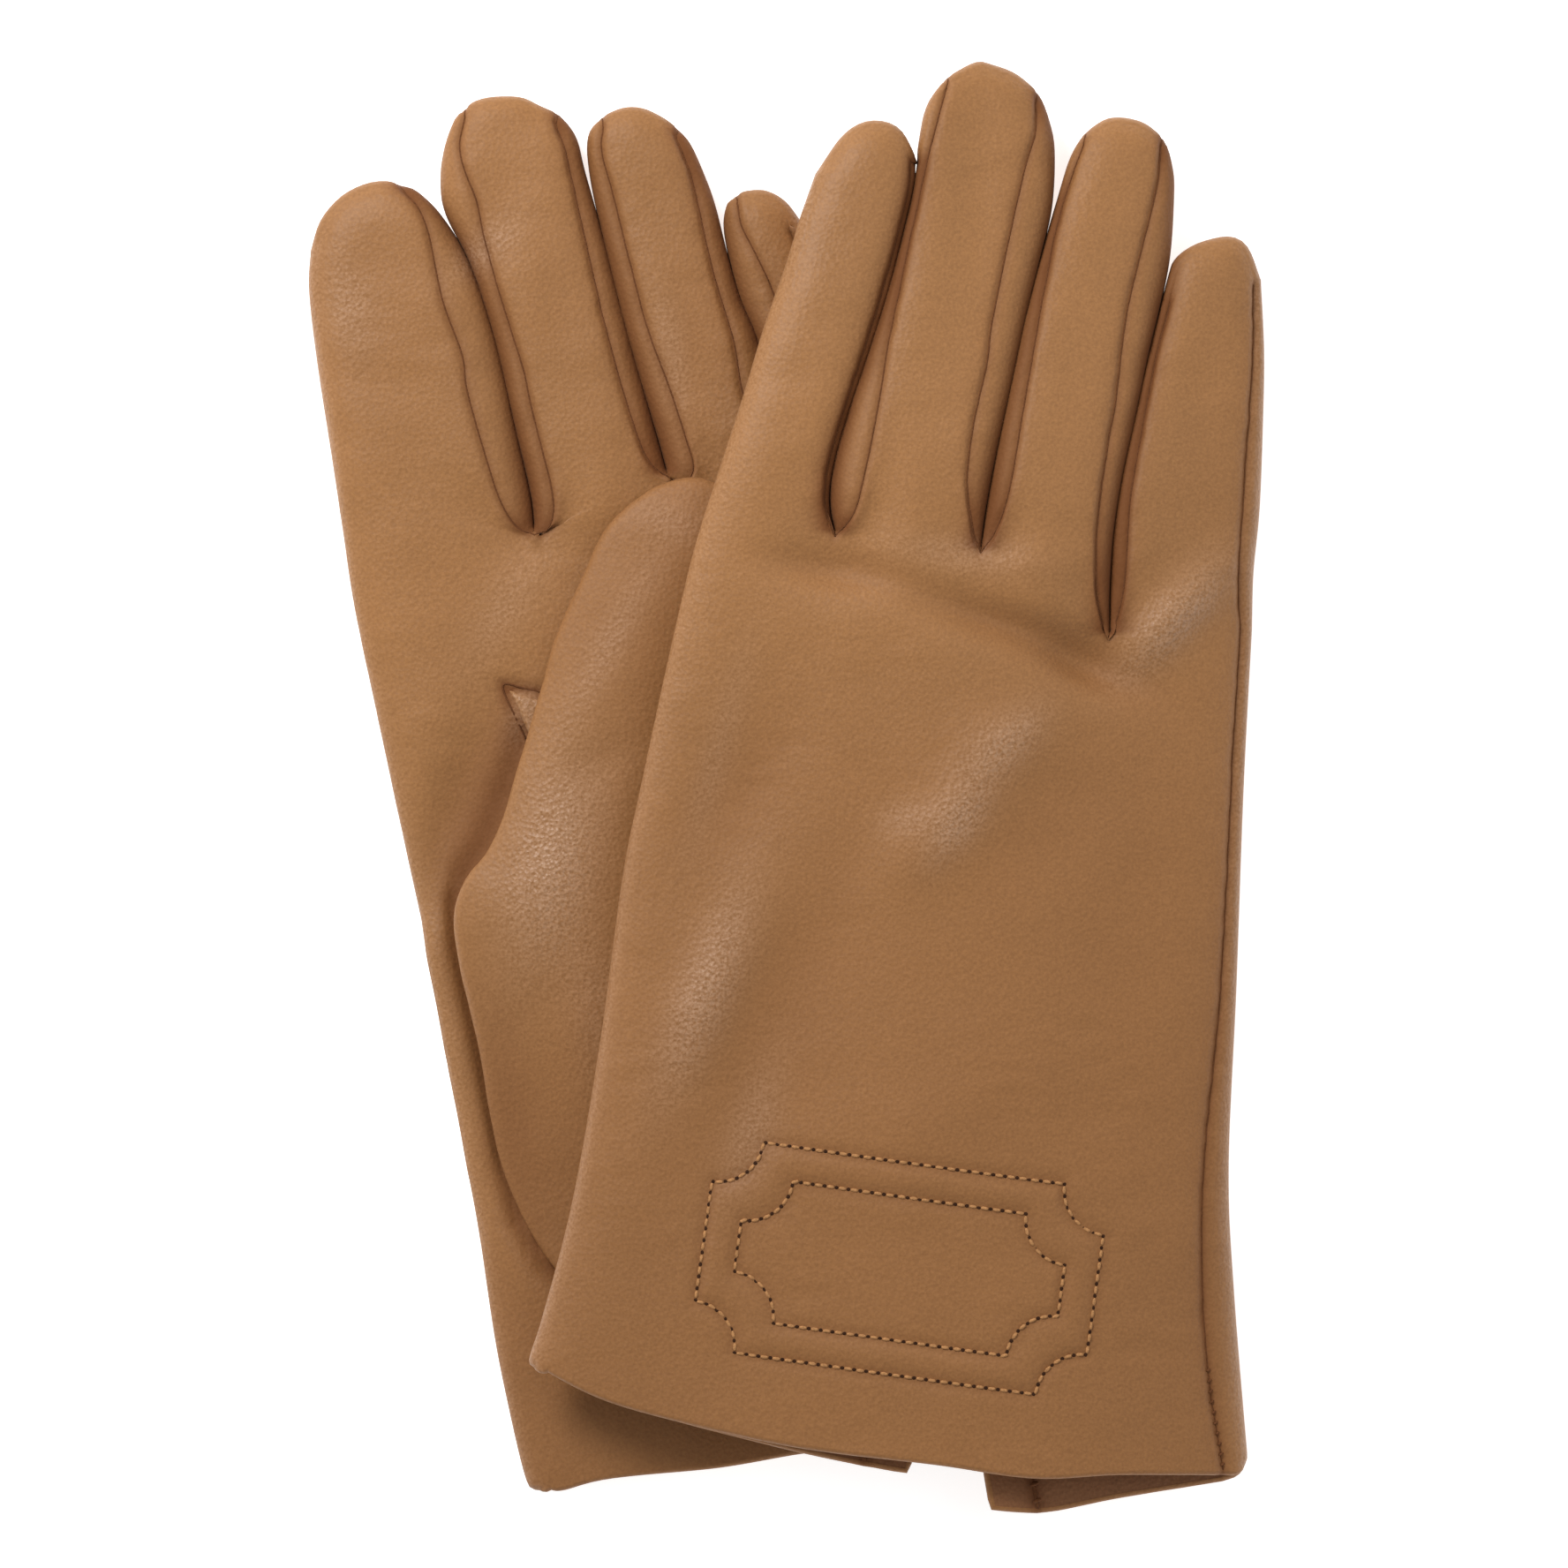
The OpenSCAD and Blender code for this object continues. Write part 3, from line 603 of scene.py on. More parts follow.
def swell_heights(points, swells):
    total = np.zeros(len(points))
    for (x, y), length, width, turn, height in swells:
        c, s = math.cos(math.radians(turn)), math.sin(math.radians(turn))
        along = (points[:, 0] - x) * c + (points[:, 1] - y) * s
        across = (points[:, 1] - y) * c - (points[:, 0] - x) * s
        total += height * bell(along, length) * bell(across, width)
    return total


def waves(points, kind):
    """Smooth noise of one kind, up to about its height, with features of about its size."""
    height, squeeze, size, seed = kind
    shift = Vector((seed * 17.3, seed * 5.1, seed * 9.7))
    return height * np.array([noise.noise(Vector(p) / size + shift) for p in points * squeeze])


CORNER_R = 2.6


def round_corner(points, corner, beside, turn):
    """Rounds one corner of the cuff: the square beside it is drawn in to a quarter disc."""
    up = np.array(beside, float) - corner
    up /= np.linalg.norm(up)
    across = turn * np.array([up[1], -up[0]])
    centre = np.array(corner) + CORNER_R * (up + across)
    apart = points[:, :2] - centre
    a, b = -apart @ up, -apart @ across
    inside = (a > 0) & (b > 0)
    scale = np.maximum(a, b)[inside] / np.hypot(a, b)[inside]
    points[inside, :2] = centre + apart[inside] * scale[:, None]


def wrinkles(points, gap, side):
    """Soft waves all over, cross wrinkles on the fingers, and puckers beside the seams."""
    on_fingers = smoothstep((points[:, 1] - 48) / 20)
    height = waves(points, SOFT_WAVES[side]) + waves(points, SMALL_WAVES)
    height += on_fingers * waves(points, CROSS_WRINKLES)
    height += smoothstep(waves(points, WRINKLED_PATCHES)) * waves(points, FINE_WRINKLES)
    return height + bell(gap, PUCKER_WIDTH) * waves(points, SEAM_PUCKERS)


def valleys_and_knots(surface, normals):
    """How much shade is painted on the leather between two fingers, and how near it is to the crotch's
    knot.
    """
    from_crotch = surface.points[:, None, :2] - np.array(surface.crotches)[None]
    apart = np.linalg.norm(from_crotch, axis=2)
    crotch = apart.min(1)
    beyond = np.take_along_axis(from_crotch[..., 1], apart.argmin(1)[:, None], 1)[:, 0]
    near = bell(crotch, 17)
    dark = bell(distance_to(surface.points[:, :2], surface.valleys), 2 + 1.2 * near)
    dark *= np.clip((normals[:, 2] + 0.25) * 4, 0, 1) * (0.8 + 0.35 * near)
    return dark * smoothstep((beyond + 0.2) / 1.6), bell(crotch - 0.2, 0.9)


def thumb_bed(points, upper):
    """How much shade is painted on the left palm along its thumb's fold and its gusset's sewn edge, and how
    high the palm stands there.
    """
    reach = distance_to(points[:, :2], [LEFT_THUMB_FOLD])
    sewn = distance_to(points[:, :2], [LEFT_GUSSET_LINE])
    soft = 2.2 + 3.2 * smoothstep((points[:, 1] + 24) / 16)
    dark = np.maximum(0.8 * bell(reach, soft), 1.1 * bell(sewn, 0.9))
    bank = 0.8 * bell(reach - 4.5, 2.4) * smoothstep((-20 - points[:, 1]) / 12)
    return dark * upper, (bank - 1.6 * bell(reach, 1.4) - 0.8 * bell(sewn, 1.1)) * upper


def painted_shade_gradient(points, side):
    """Painted shade that grows towards the cuff as the light falls off, and on the left cuff it is the
    right glove's painted shadow; the right glove's strip beyond its side seam gets hardly any, and the left
    glove's fingertips are a little darker.
    """
    x, y = points[:, 0], points[:, 1]
    if side == "left":
        return 0.28 * smoothstep((-50 - y) / 60) + 0.06 * smoothstep((y - 50) / 30)
    falloff = 0.14 * smoothstep((35 - y) / 50) + 0.09 * smoothstep((-10 - y) / 40)
    return falloff * (1 - 0.8 * smoothstep((x - 75) / 5))


def shaped(surface, side, motifs):
    """Presses the seams in, adds folds and dents, and keeps how much painted shade, gloss and painted sheen
    each point gets.
    """
    points, normals = surface.points, surface.normals()
    gap = distance_to(points, [points[ids] for curves in surface.seams.values() for ids in curves])
    groove = bell(gap, SEAM_WIDTH)
    upper = np.clip(normals[:, 2] * 1.6, 0, 1)
    flat = np.clip(np.abs(normals[:, 2]) * 1.4 - 0.2, 0, 1)
    swell = swell_heights(points, RIGHT_SWELLS if side == "right" else LEFT_SWELLS)
    between, knot = valleys_and_knots(surface, normals)
    lift = upper * (swell + KNOT_HEIGHT[side] * knot) - SEAM_DEPTH * groove
    lift += wrinkles(points, gap, side) * flat

    back = normals[:, 2] > 0.3 if side == "right" else normals[:, 2] < -0.3
    line = bell(distance_to(points[:, :2], motifs), MOTIF_WIDTH) * back
    between_lines = distance_to(points[:, :2], [0.5 * (motifs[0] + motifs[1])])
    lift += PADDING_HEIGHT * bell(between_lines, PADDING_WIDTH) * back - MOTIF_DEPTH * line
    # Painted shade: in and beside the seams, in the motif's lines, between the fingers, towards the cuff
    # and in the dents
    painted_shade = SEAM_DARK * groove + MOTIF_DARK * line + BESIDE_SEAM_DARK * bell(gap, BESIDE_SEAM_WIDTH)
    painted_shade += between + painted_shade_gradient(points, side)
    painted_shade += DENT_DARK * upper * np.clip(-swell, 0, DEEPEST_DENT)
    if side == "left":
        dark, height = thumb_bed(points, upper)
        painted_shade += dark
        lift += height
    # Rubbed places and outer folds: glossier, with a painted satin highlight
    gloss_and_sheen = swell_heights(points, RIGHT_GLOSS_AND_SHEEN if side == "right" else LEFT_GLOSS_AND_SHEEN) * upper
    gloss_and_sheen += FOLD_GLOSS_AND_SHEEN * bell(distance_to(points[:, :2], surface.folds), FOLD_GLOSS_AND_SHEEN_WIDTH)
    surface.shade = np.clip(np.stack([painted_shade, gloss_and_sheen], 1), 0, 1)

    surface.points = points + normals * lift[:, None]
    for (corner, beside, *_), turn in zip(GLOVES[side]["hand_edge"], (1, -1)):
        round_corner(surface.points, corner, beside, turn)
    if side == "left":
        surface.points[:, 2] = np.maximum(surface.points[:, 2], 0)
    surface.finish()
    return surface


# ---------------------------------------------------------------- pieces cut from a surface
ROLL_STEPS = 6


def rolled_edges(points, normals, open_pairs, outer, roll):
    """Rings of points round the open edges, from the outer face towards the inner one."""
    outward = {}
    for a, b in open_pairs:
        for v in (a, b):
            outward[v] = outward.get(v, 0) + np.cross(points[b] - points[a], normals[v])
    rings = {}
    for v, direction in outward.items():
        direction = direction / max(np.linalg.norm(direction), 1e-9)
        angles = np.pi * np.arange(1, ROLL_STEPS + 1)[:, None] / ROLL_STEPS
        facing = normals[v] * np.cos(angles) + direction * np.sin(angles)
        rings[v] = (points[v] - normals[v] * (outer + roll) + roll * facing, facing)
    return rings


def shell(surface, chosen, layer, roll=None):
    """A closed sheet of leather or knit: the chosen faces between a layer's two depths.
    Edges that are open on the whole surface are rolled round with the radius roll."""
    outer, inner = layer
    used, local = np.unique(surface.faces[chosen], return_inverse=True)
    corners = local.reshape(-1, 4)
    p, n = surface.points[used], surface.inward[used]
    points, normals = [p - n * outer, p - n * inner], [surface.smooth[used], -n]
    owners = [used, used]
    count = len(used)
    faces = [tidy_face(f) for f in corners.tolist()]
    faces += [[v + count for v in reversed(f)] for f in faces]
    borders = border_edges(corners)
    whole = set(border_edges(surface.faces)) if roll else set()
    open_pairs = [(a, b) for a, b in borders if (used[a], used[b]) in whole]
    chains = {}
    for v, (ring, facing) in rolled_edges(p, n, open_pairs, outer, roll).items():
        first = sum(map(len, points))
        chains[v] = [v, *range(first, first + ROLL_STEPS), v + count]
        points.append(ring)
        normals.append(facing)
        owners.append(np.full(ROLL_STEPS, used[v]))
    rolled = set(open_pairs)
    for a, b in borders:
        chain_a, chain_b = (chains[a], chains[b]) if (a, b) in rolled else ([a, a + count], [b, b + count])
        faces += [[chain_b[k], chain_a[k], chain_a[k + 1], chain_b[k + 1]] for k in range(len(chain_a) - 1)]
    return np.vstack(points), faces, np.vstack(normals), surface.shade[np.concatenate(owners)]


def tidy_face(face):
    """A quad without a doubled corner."""
    return [v for k, v in enumerate(face) if v != face[k - 1]]


def border_edges(faces):
    """The directed edges that only one face has."""
    pairs = [(f[k], f[(k + 1) % 4]) for f in faces.tolist() for k in range(4) if f[k] != f[(k + 1) % 4]]
    known = set(pairs)
    return [(a, b) for a, b in pairs if (b, a) not in known]


def add_object(name, points, faces, normals=None, shade=None):
    mesh = bpy.data.meshes.new(name)
    mesh.from_pydata((np.asarray(points) * MM).tolist(), [], faces)
    mesh.polygons.foreach_set("use_smooth", [True] * len(mesh.polygons))
    if shade is not None:
        for k, key in enumerate(("painted_shade", "gloss_and_sheen")):
            values = shade[:, k].astype(np.float32)
            mesh.attributes.new(key, "FLOAT", "POINT").data.foreach_set("value", values)
    if normals is not None:
        mesh.normals_split_custom_set_from_vertices(normals.tolist())
    obj = bpy.data.objects.new(name, mesh)
    bpy.context.scene.collection.objects.link(obj)
    return obj


def tube(path, radius, sides=6):
    """A thread along a path, with closed ends."""
    path = np.asarray(path, float)
    along = np.gradient(path, axis=0)
    along /= np.maximum(np.linalg.norm(along, axis=1), 1e-9)[:, None]
    side = np.cross(along, (0, 0, 1.0)) + (1e-6, 0, 0)
    side /= np.linalg.norm(side, axis=1)[:, None]
    up = np.cross(side, along)
    angles = 2 * np.pi * np.arange(sides) / sides
    rings = path[:, None] + radius * (np.cos(angles)[None, :, None] * side[:, None]
                                      + np.sin(angles)[None, :, None] * up[:, None])
    points = rings.reshape(-1, 3)
    faces = [[r * sides + s, r * sides + (s + 1) % sides, (r + 1) * sides + (s + 1) % sides,
              (r + 1) * sides + s] for r in range(len(path) - 1) for s in range(sides)]
    last = (len(path) - 1) * sides
    faces += [list(range(sides))[::-1], [last + s for s in range(sides)]]
    return points, faces


def merged(parts):
    """Several (points, faces) as one."""
    points, faces, count = [], [], 0
    for p, f in parts:
        points.append(p)
        faces += [[v + count for v in face] for face in f]
        count += len(p)
    return np.vstack(points), faces


# ---------------------------------------------------------------- materials
def node_material(name):
    material = bpy.data.materials.new(name)
    material.use_nodes = True
    tree = material.node_tree
    return material, tree, tree.nodes["Principled BSDF"]


def add_node(tree, kind, inputs=(), **settings):
    """A node whose inputs are given as fixed values or as other nodes' outputs."""
    node = tree.nodes.new(kind)
    for key, value in settings.items():
        setattr(node, key, value)
    for key, value in dict(inputs).items():
        if isinstance(value, bpy.types.NodeSocket):
            tree.links.new(value, node.inputs[key])
        else:
            node.inputs[key].default_value = value
    return node


def object_place(tree):
    return add_node(tree, "ShaderNodeTexCoord").outputs["Object"]


def noise_value(tree, scale, detail, roughness=0.5):
    inputs = {"Vector": object_place(tree), "Scale": scale, "Detail": detail, "Roughness": roughness}
    return add_node(tree, "ShaderNodeTexNoise", inputs).outputs["Fac"]


def point_value(tree, name):
    return add_node(tree, "ShaderNodeAttribute", attribute_name=name).outputs["Fac"]


def times_plus(tree, value, factor, plus=0):
    """A value times a factor, plus a term."""
    node = add_node(tree, "ShaderNodeMath", {0: value, 1: factor, 2: plus}, operation="MULTIPLY_ADD")
    return node.outputs[0]


def spread(tree, value, old_low, old_high, new_low, new_high):
    """A value's old range stretched to a new one."""
    limits = {"From Min": old_low, "From Max": old_high, "To Min": new_low, "To Max": new_high}
    return add_node(tree, "ShaderNodeMapRange", {"Value": value, **limits}).outputs[0]


def scaled(colour, factor):
    return tuple(c * factor for c in colour)


def ramp(tree, value, low, high, start=0, stop=1):
    """A colour that goes from low to high while a value goes from start to stop."""
    node = add_node(tree, "ShaderNodeValToRGB", {"Fac": value})
    for element, position, colour in zip(node.color_ramp.elements, (start, stop), (low, high)):
        element.position = position
        element.color = (*colour, 1)
    return node.outputs["Color"]


def mix(tree, factor, first, second, blend="MIX"):
    """Two colours mixed by a factor. The node's sockets share names, so they go by number."""
    inputs = {0: factor, 6: first, 7: second}
    return add_node(tree, "ShaderNodeMix", inputs, data_type="RGBA", blend_type=blend).outputs[2]


def bump(tree, height, strength, distance, under=None):
    """A bumped normal, over another one or over the plain surface."""
    inputs = {"Height": height, "Strength": strength, "Distance": distance}
    if under:
        inputs["Normal"] = under
    return add_node(tree, "ShaderNodeBump", inputs).outputs["Normal"]


def leather(name, base, roughness=0.5, grain=1.0):
    """Smooth dyed nappa: fine pores and soft mottling, with painted shade in the creases and hollows, and
    rubbed places that are glossier and get a painted satin highlight.
    """
    material, tree, shader = node_material(name)
    link = tree.links.new
    cloudy = noise_value(tree, 22, 4, 0.55)
    specks = noise_value(tree, 1900, 3, 0.6)
    cells = {"Vector": object_place(tree), "Scale": 1200}
    pores = add_node(tree, "ShaderNodeTexVoronoi", cells, feature="F1").outputs["Distance"]
    painted_shade, gloss_and_sheen = point_value(tree, "painted_shade"), point_value(tree, "gloss_and_sheen")

    dye = ramp(tree, cloudy, scaled(base, 0.93), scaled(base, 1.05), 0.3, 0.7)
    flecks = ramp(tree, specks, (0.82, 0.8, 0.78), (1.08, 1.08, 1.08), 0.35, 0.65)
    dyed = mix(tree, 0.75, dye, flecks, "MULTIPLY")
    # The painted shade darkens the dye towards this colour
    shade_colour = (base[0] * 0.42, base[1] * 0.27, base[2] * 0.15, 1)
    with_painted_shade = mix(tree, times_plus(tree, painted_shade, 0.85), dyed, shade_colour)
    # Painted satin highlight: rubbed places are mixed towards this paler colour, most on the grain's flecks
    sheen_colour = (base[0] * 1.2 + 0.08, base[1] * 1.3 + 0.1, base[2] * 1.4 + 0.12, 1)
    glint = times_plus(tree, gloss_and_sheen, spread(tree, specks, 0.36, 0.64, 0.08, 0.62))
    link(mix(tree, glint, with_painted_shade, sheen_colour), shader.inputs["Base Color"])

    polished = times_plus(tree, gloss_and_sheen, -0.16, spread(tree, cloudy, 0, 1, roughness - 0.05, roughness + 0.07))
    link(times_plus(tree, painted_shade, 0.3, polished), shader.inputs["Roughness"])
    shader.inputs["Specular IOR Level"].default_value = 0.3
    shader.inputs["Sheen Weight"].default_value = 0.02
    shader.inputs["Sheen Roughness"].default_value = 0.5
    shader.inputs["Sheen Tint"].default_value = (1, 0.88, 0.8, 1)

    pebbled = bump(tree, pores, times_plus(tree, gloss_and_sheen, 0.6 * grain, 0.4 * grain), 0.0002)
    link(bump(tree, specks, 0.16 * grain, 0.00016, pebbled), shader.inputs["Normal"])
    return material


def strands(tree, shader, pattern, colour, shadow, span, relief):
    """Colours and roughens a shader by a pattern of fibres, darker in between them."""
    tree.links.new(ramp(tree, pattern, scaled(colour, shadow), colour, *span), shader.inputs["Base Color"])
    tree.links.new(bump(tree, pattern, *relief), shader.inputs["Normal"])


def knit(name, colour):
    """A fine ribbed silk-like knit."""
    material, tree, shader = node_material(name)
    inputs = {"Vector": object_place(tree), "Scale": 420, "Distortion": 1.2, "Detail": 2}
    ribs = add_node(tree, "ShaderNodeTexWave", inputs, bands_direction="X").outputs["Fac"]
    strands(tree, shader, ribs, colour, 0.6, (0, 1), (0.6, 0.0003))
    shader.inputs["Roughness"].default_value = 0.75
    shader.inputs["Sheen Weight"].default_value = 0.3
    return material


def thread(name, colour):
    """Twisted sewing thread."""
    material, tree, shader = node_material(name)
    strands(tree, shader, noise_value(tree, 2600, 2), colour, 0.7, (0.35, 0.65), (0.5, 0.0001))
    shader.inputs["Roughness"].default_value = 0.85
    shader.inputs["Specular IOR Level"].default_value = 0.15
    return material


TAN = (0.33, 0.152, 0.051)
leather_mat = leather("tan_nappa", TAN)
turned_mat = leather("turned_nappa", (0.27, 0.12, 0.05), 0.6, 1.6)
lining_mat = knit("knitted_lining", (0.23, 0.135, 0.075))
seam_mat = thread("seam_thread_brown", (0.16, 0.06, 0.022))
motif_mat = thread("motif_thread_tan", (0.5, 0.25, 0.1))
# The needle holes are dark marks of painted shade
hole_shade_mat = thread("needle_hole_shade", (0.045, 0.017, 0.007))
# Each look's material, and the slot of the pieces that have it
LOOKS = {"leather": (leather_mat, "leather"), "turned": (turned_mat, "turned_leather"),
         "knit": (lining_mat, "lining"), "seam": (seam_mat, "seam_thread"),
         "motif": (motif_mat, "motif_thread"), "hole": (hole_shade_mat, "seam_thread")}

# ---------------------------------------------------------------- which body each piece rides on
hinges = {j["child"]: j for j in frame["joints"]}


def add_piece(name, shape, look, side, tip_body, nodes):
    """A visible piece that rides on the hand, or, when it has a fingertip's or thumb's body, stays where it
    is with its transform baked in.
    """
    obj = add_object(name, *shape)
    material, slot = LOOKS[look]
    obj.data.materials.append(material)
    hand = side + "_hand"
    if tip_body in hinges:
        low, high = (np.array(c) for c in reach_of[tip_body])
        along = high - low
        along /= np.linalg.norm(along)
        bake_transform(obj)
    else:
        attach(obj, hand)
    for node in nodes:
        if node in frame["nodes"]:
            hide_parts(node)


# From each bending finger's hinge to its tip, level, in metres
reach_of = {}
for body, joint in hinges.items():
    if body.endswith("_tip"):
        side, finger = body.split("_")[:2]
        outline = GLOVES[side]["tips"][FINGERS.index(finger)]
        pivot = np.array(joint["pos_m"])
        top = np.mean(outline, axis=0) * MM
        reach_of[body] = (pivot, np.array([top[0], top[1], pivot[2]]))
thumb_pivot = np.array(hinges["left_thumb"]["pos_m"])
reach_of["left_thumb"] = (thumb_pivot, thumb_pivot + np.array([0.014, 0.045, 0]))

# ---------------------------------------------------------------- the stitched cartouche
MOTIF_W, MOTIF_H, MOTIF_SCOOP, MOTIF_INSET = 69, 37, 8, 6
MOTIF_PLACE = {"right": (19.7, -84.5, -8), "left": (10, -86, 11)}
STITCH_PITCH = 2.1
# Length, width and thickness of a stitch and of a needle hole, drawn as a dark mark of painted shade
STITCH_SIZE = (1.3, 0.62, 0.5)
HOLE_SIZE = (0.65, 0.62, 0.16)
LOCK_STITCH_SIZE = (1.0, 0.45, 0.4)
LOCK_PITCH = 1.9
SEAM_THREAD_R, INNER_THREAD_R, GUSSET_THREAD_R = 0.13, 0.3, 0.17
# How deep under the leather's outer face the thread and the stitches inside the cuff lie
INNER_THREAD_DEPTH, INNER_STITCH_DEPTH = 1.9, 2.2


def cartouche(side, shrink):
    """A rectangle with scooped corners, as a closed line in the glove's own place."""
    half_w, half_h = MOTIF_W / 2 - shrink, MOTIF_H / 2 - shrink
    corners = [(1, 1, 180), (1, -1, 90), (-1, -1, 0), (-1, 1, 270)]
    line = []
    for sx, sy, start in corners:
        for step in range(9):
            angle = math.radians(start + 90 * step / 8)
            line.append((sx * half_w + MOTIF_SCOOP * math.cos(angle),
                         sy * half_h + MOTIF_SCOOP * math.sin(angle)))
    line.append(line[0])
    x, y, turn = MOTIF_PLACE[side]
    c, s = math.cos(math.radians(turn)), math.sin(math.radians(turn))
    p = np.array(line)
    return np.stack([x + p[:, 0] * c - p[:, 1] * s, y + p[:, 0] * s + p[:, 1] * c], 1)


def stitch_marks(line, pitch):
    """The middle and direction of each stitch along a line, and the place of the hole after it."""
    line = np.asarray(line, float)
    run = np.r_[0, np.cumsum(np.linalg.norm(np.diff(line, axis=0), axis=1))]
    count = max(1, int(round(run[-1] / pitch)))
    step = run[-1] / count

    def at(place):
        """The point that lies this many stitches along the line."""
        return np.array([np.interp(place * step, run, line[:, k]) for k in range(line.shape[1])])

    return [(at(k + 0.5), at(k + 0.9) - at(k + 0.1), at(k + 1.0)) for k in range(count)]


def capsule(middle, along, up, size):
    """A small plump stitch lying on the leather."""
    length, wide, thick = size
    along = along / np.linalg.norm(along)
    up = up - along * np.dot(up, along)
    up /= np.linalg.norm(up)
    side = np.cross(up, along)
    points, faces, sides = [], [], 8
    profile = [(-1, 0.25), (-0.8, 0.75), (-0.35, 1), (0.35, 1), (0.8, 0.75), (1, 0.25)]
    for x, r in profile:
        for k in range(sides):
            a = 2 * math.pi * k / sides
            points.append(middle + along * x * length / 2 + side * math.cos(a) * r * wide / 2
                          + up * math.sin(a) * r * thick / 2)
    for ring in range(len(profile) - 1):
        for k in range(sides):
            a, b = ring * sides + k, ring * sides + (k + 1) % sides
            faces.append([a, b, b + sides, a + sides])
    faces += [list(range(sides))[::-1], [(len(profile) - 1) * sides + k for k in range(sides)]]
    return np.array(points), faces


# ---------------------------------------------------------------- the gloves
FACING_ROWS = 18
VENT_STRIP = 5
CROTCH_CLEARANCE = 8
CORNER_CLEARANCE = 3.5
FOURCHETTE_OF = {"index": "index_middle", "middle": "middle_ring", "ring": "ring_little", "little": None}


def lined_faces(side, surface):
    """The faces that have a lining under them: not beside the crotches or the tips' corners."""
    centres = surface.points[surface.faces].mean(1)[:, :2]

    def nearest(spots):
        return np.min([np.linalg.norm(centres - np.array(spot), axis=1) for spot in spots], axis=0)

    corners = [end for tip in GLOVES[side]["tips"] for end in (tip[0], tip[-1])]
    return (nearest(surface.crotches) > CROTCH_CLEARANCE) & (nearest(corners) > CORNER_CLEARANCE)


def make_hand(side, surface, lined):
    """The trank, its turned hem, the binding of the vent and the lining of the palm."""
    rows = surface.rows
    hand = np.isin(surface.tags, ["palm", "back", "fold"])
    by_vent = (surface.tags == "palm") & (rows >= FACING_ROWS) & (rows < VENT_ROW + 3)
    by_vent &= np.abs(surface.columns + 0.5 - surface.vent_column) < VENT_STRIP
    inside = hand & (rows >= FACING_ROWS - 2) & lined
    trank_nodes = [side + "_trank_back", side + "_trank_palm", side + "_trank_fold"]
    for name, shape, look, nodes in (
            ("_trank_leather", shell(surface, hand, LEATHER, HEM_ROLL), "leather", trank_nodes),
            ("_turned_hem", shell(surface, hand & (rows < FACING_ROWS), HEM_FACING), "turned",
             [side + "_hem_facing"]),
            ("_vent_binding", shell(surface, by_vent, VENT_FACING), "turned", [side + "_vent_facing"]),
            ("_palm_knit", shell(surface, inside, HAND_LINING), "knit", [side + "_hand_lining"])):
        add_piece(side + name, shape, look, side, None, nodes)


def make_side_stitching(side, surface, tree):
    """The thread down the hand's side, beside the vent and round the gusset, and its stitches."""
    parts = [thread_in(surface, ids) for ids in surface.seams["hand"]]
    for ids in surface.seams["hand"]:
        parts += lock_stitches(surface, ids[:SHOWN_STITCH_ROWS])
    for ids in surface.seams["hand"][1:]:
        inner_line = surface.points[ids] - surface.inward[ids] * INNER_THREAD_DEPTH
        parts.append(tube(inner_line, INNER_THREAD_R))
        parts += lock_stitches(surface, ids, INNER_STITCH_DEPTH)
    if side == "left":
        spots = [laid_on(tree, spot, 1) for spot in spline(LEFT_GUSSET_LINE, np.linspace(0, 1, 40))]
        parts.append(tube([place + normal * 0.04 for place, normal in spots], GUSSET_THREAD_R))
    add_piece(side + "_side_stitching", merged(parts), "seam", side, None, [side + "_side_seam"])


def make_finger(side, surface, finger, lined):
    """A finger's leather, its side walls, its lining and the thread in its seams."""
    body = f"{side}_{finger}_tip"
    face, walls = surface.tags == finger, surface.tags == finger + "_wall"
    strips = [body + "_fourchettes"]
    if FOURCHETTE_OF[finger]:
        strips.append(f"{side}_{FOURCHETTE_OF[finger]}_fourchette")
    for name, chosen, layer, look, nodes in (
            ("leather", face, LEATHER, "leather", [body + "_shell"]),
            ("sidewalls", walls, LEATHER, "leather", strips),
            ("knit", (face | walls) & lined, LINING, "knit", [body + "_lining"])):
        add_piece(f"{side}_{finger}_{name}", shell(surface, chosen, layer), look, side, body, nodes)
    threads = merged([thread_in(surface, ids) for ids in surface.seams[finger]])
    add_piece(f"{side}_{finger}_seam_thread", threads, "seam", side, body, [])


def make_glove(side):
    """Every piece of one glove but its thumb and its gusset."""
    motifs = [cartouche(side, 0), cartouche(side, MOTIF_INSET)]
    surface = shaped(glove_surface(side), side, motifs)
    tree = tree_over(surface)
    lined = lined_faces(side, surface)
    make_hand(side, surface, lined)
    make_side_stitching(side, surface, tree)
    for finger in FINGERS:
        make_finger(side, surface, finger, lined)
    add_motif(side, tree, motifs)


def lock_stitches(surface, ids, depth=0):
    """The visible stitches that lie across a seam near the cuff, or across it on the inside."""
    path = surface.points[ids] - surface.inward[ids] * depth
    up = surface.smooth[ids].mean(0) * (-1 if depth else 1)
    scale = 1.6 if depth else 1.0
    size = [scale * s for s in LOCK_STITCH_SIZE]
    stitches = []
    for middle, along, _ in stitch_marks(path, LOCK_PITCH * scale):
        across = np.cross(along, up) + 0.5 * along / max(np.linalg.norm(along), 1e-9)
        stitches.append(capsule(middle + up * 0.22, across, up, size))
    return stitches


def thread_in(surface, ids):
    """The line of thread that shows at the bottom of a seam."""
    path = surface.points[ids]
    keep = np.r_[True, np.linalg.norm(np.diff(path, axis=0), axis=1) > 0.05]
    path = path[keep] + surface.smooth[ids][keep] * 0.02
    return tube(path, SEAM_THREAD_R)


def tree_over(surface):
    """A search tree of a surface's faces, for laying things on it."""
    return BVHTree.FromPolygons([Vector(p) for p in surface.points],
                                [tidy_face(f) for f in surface.faces.tolist()])


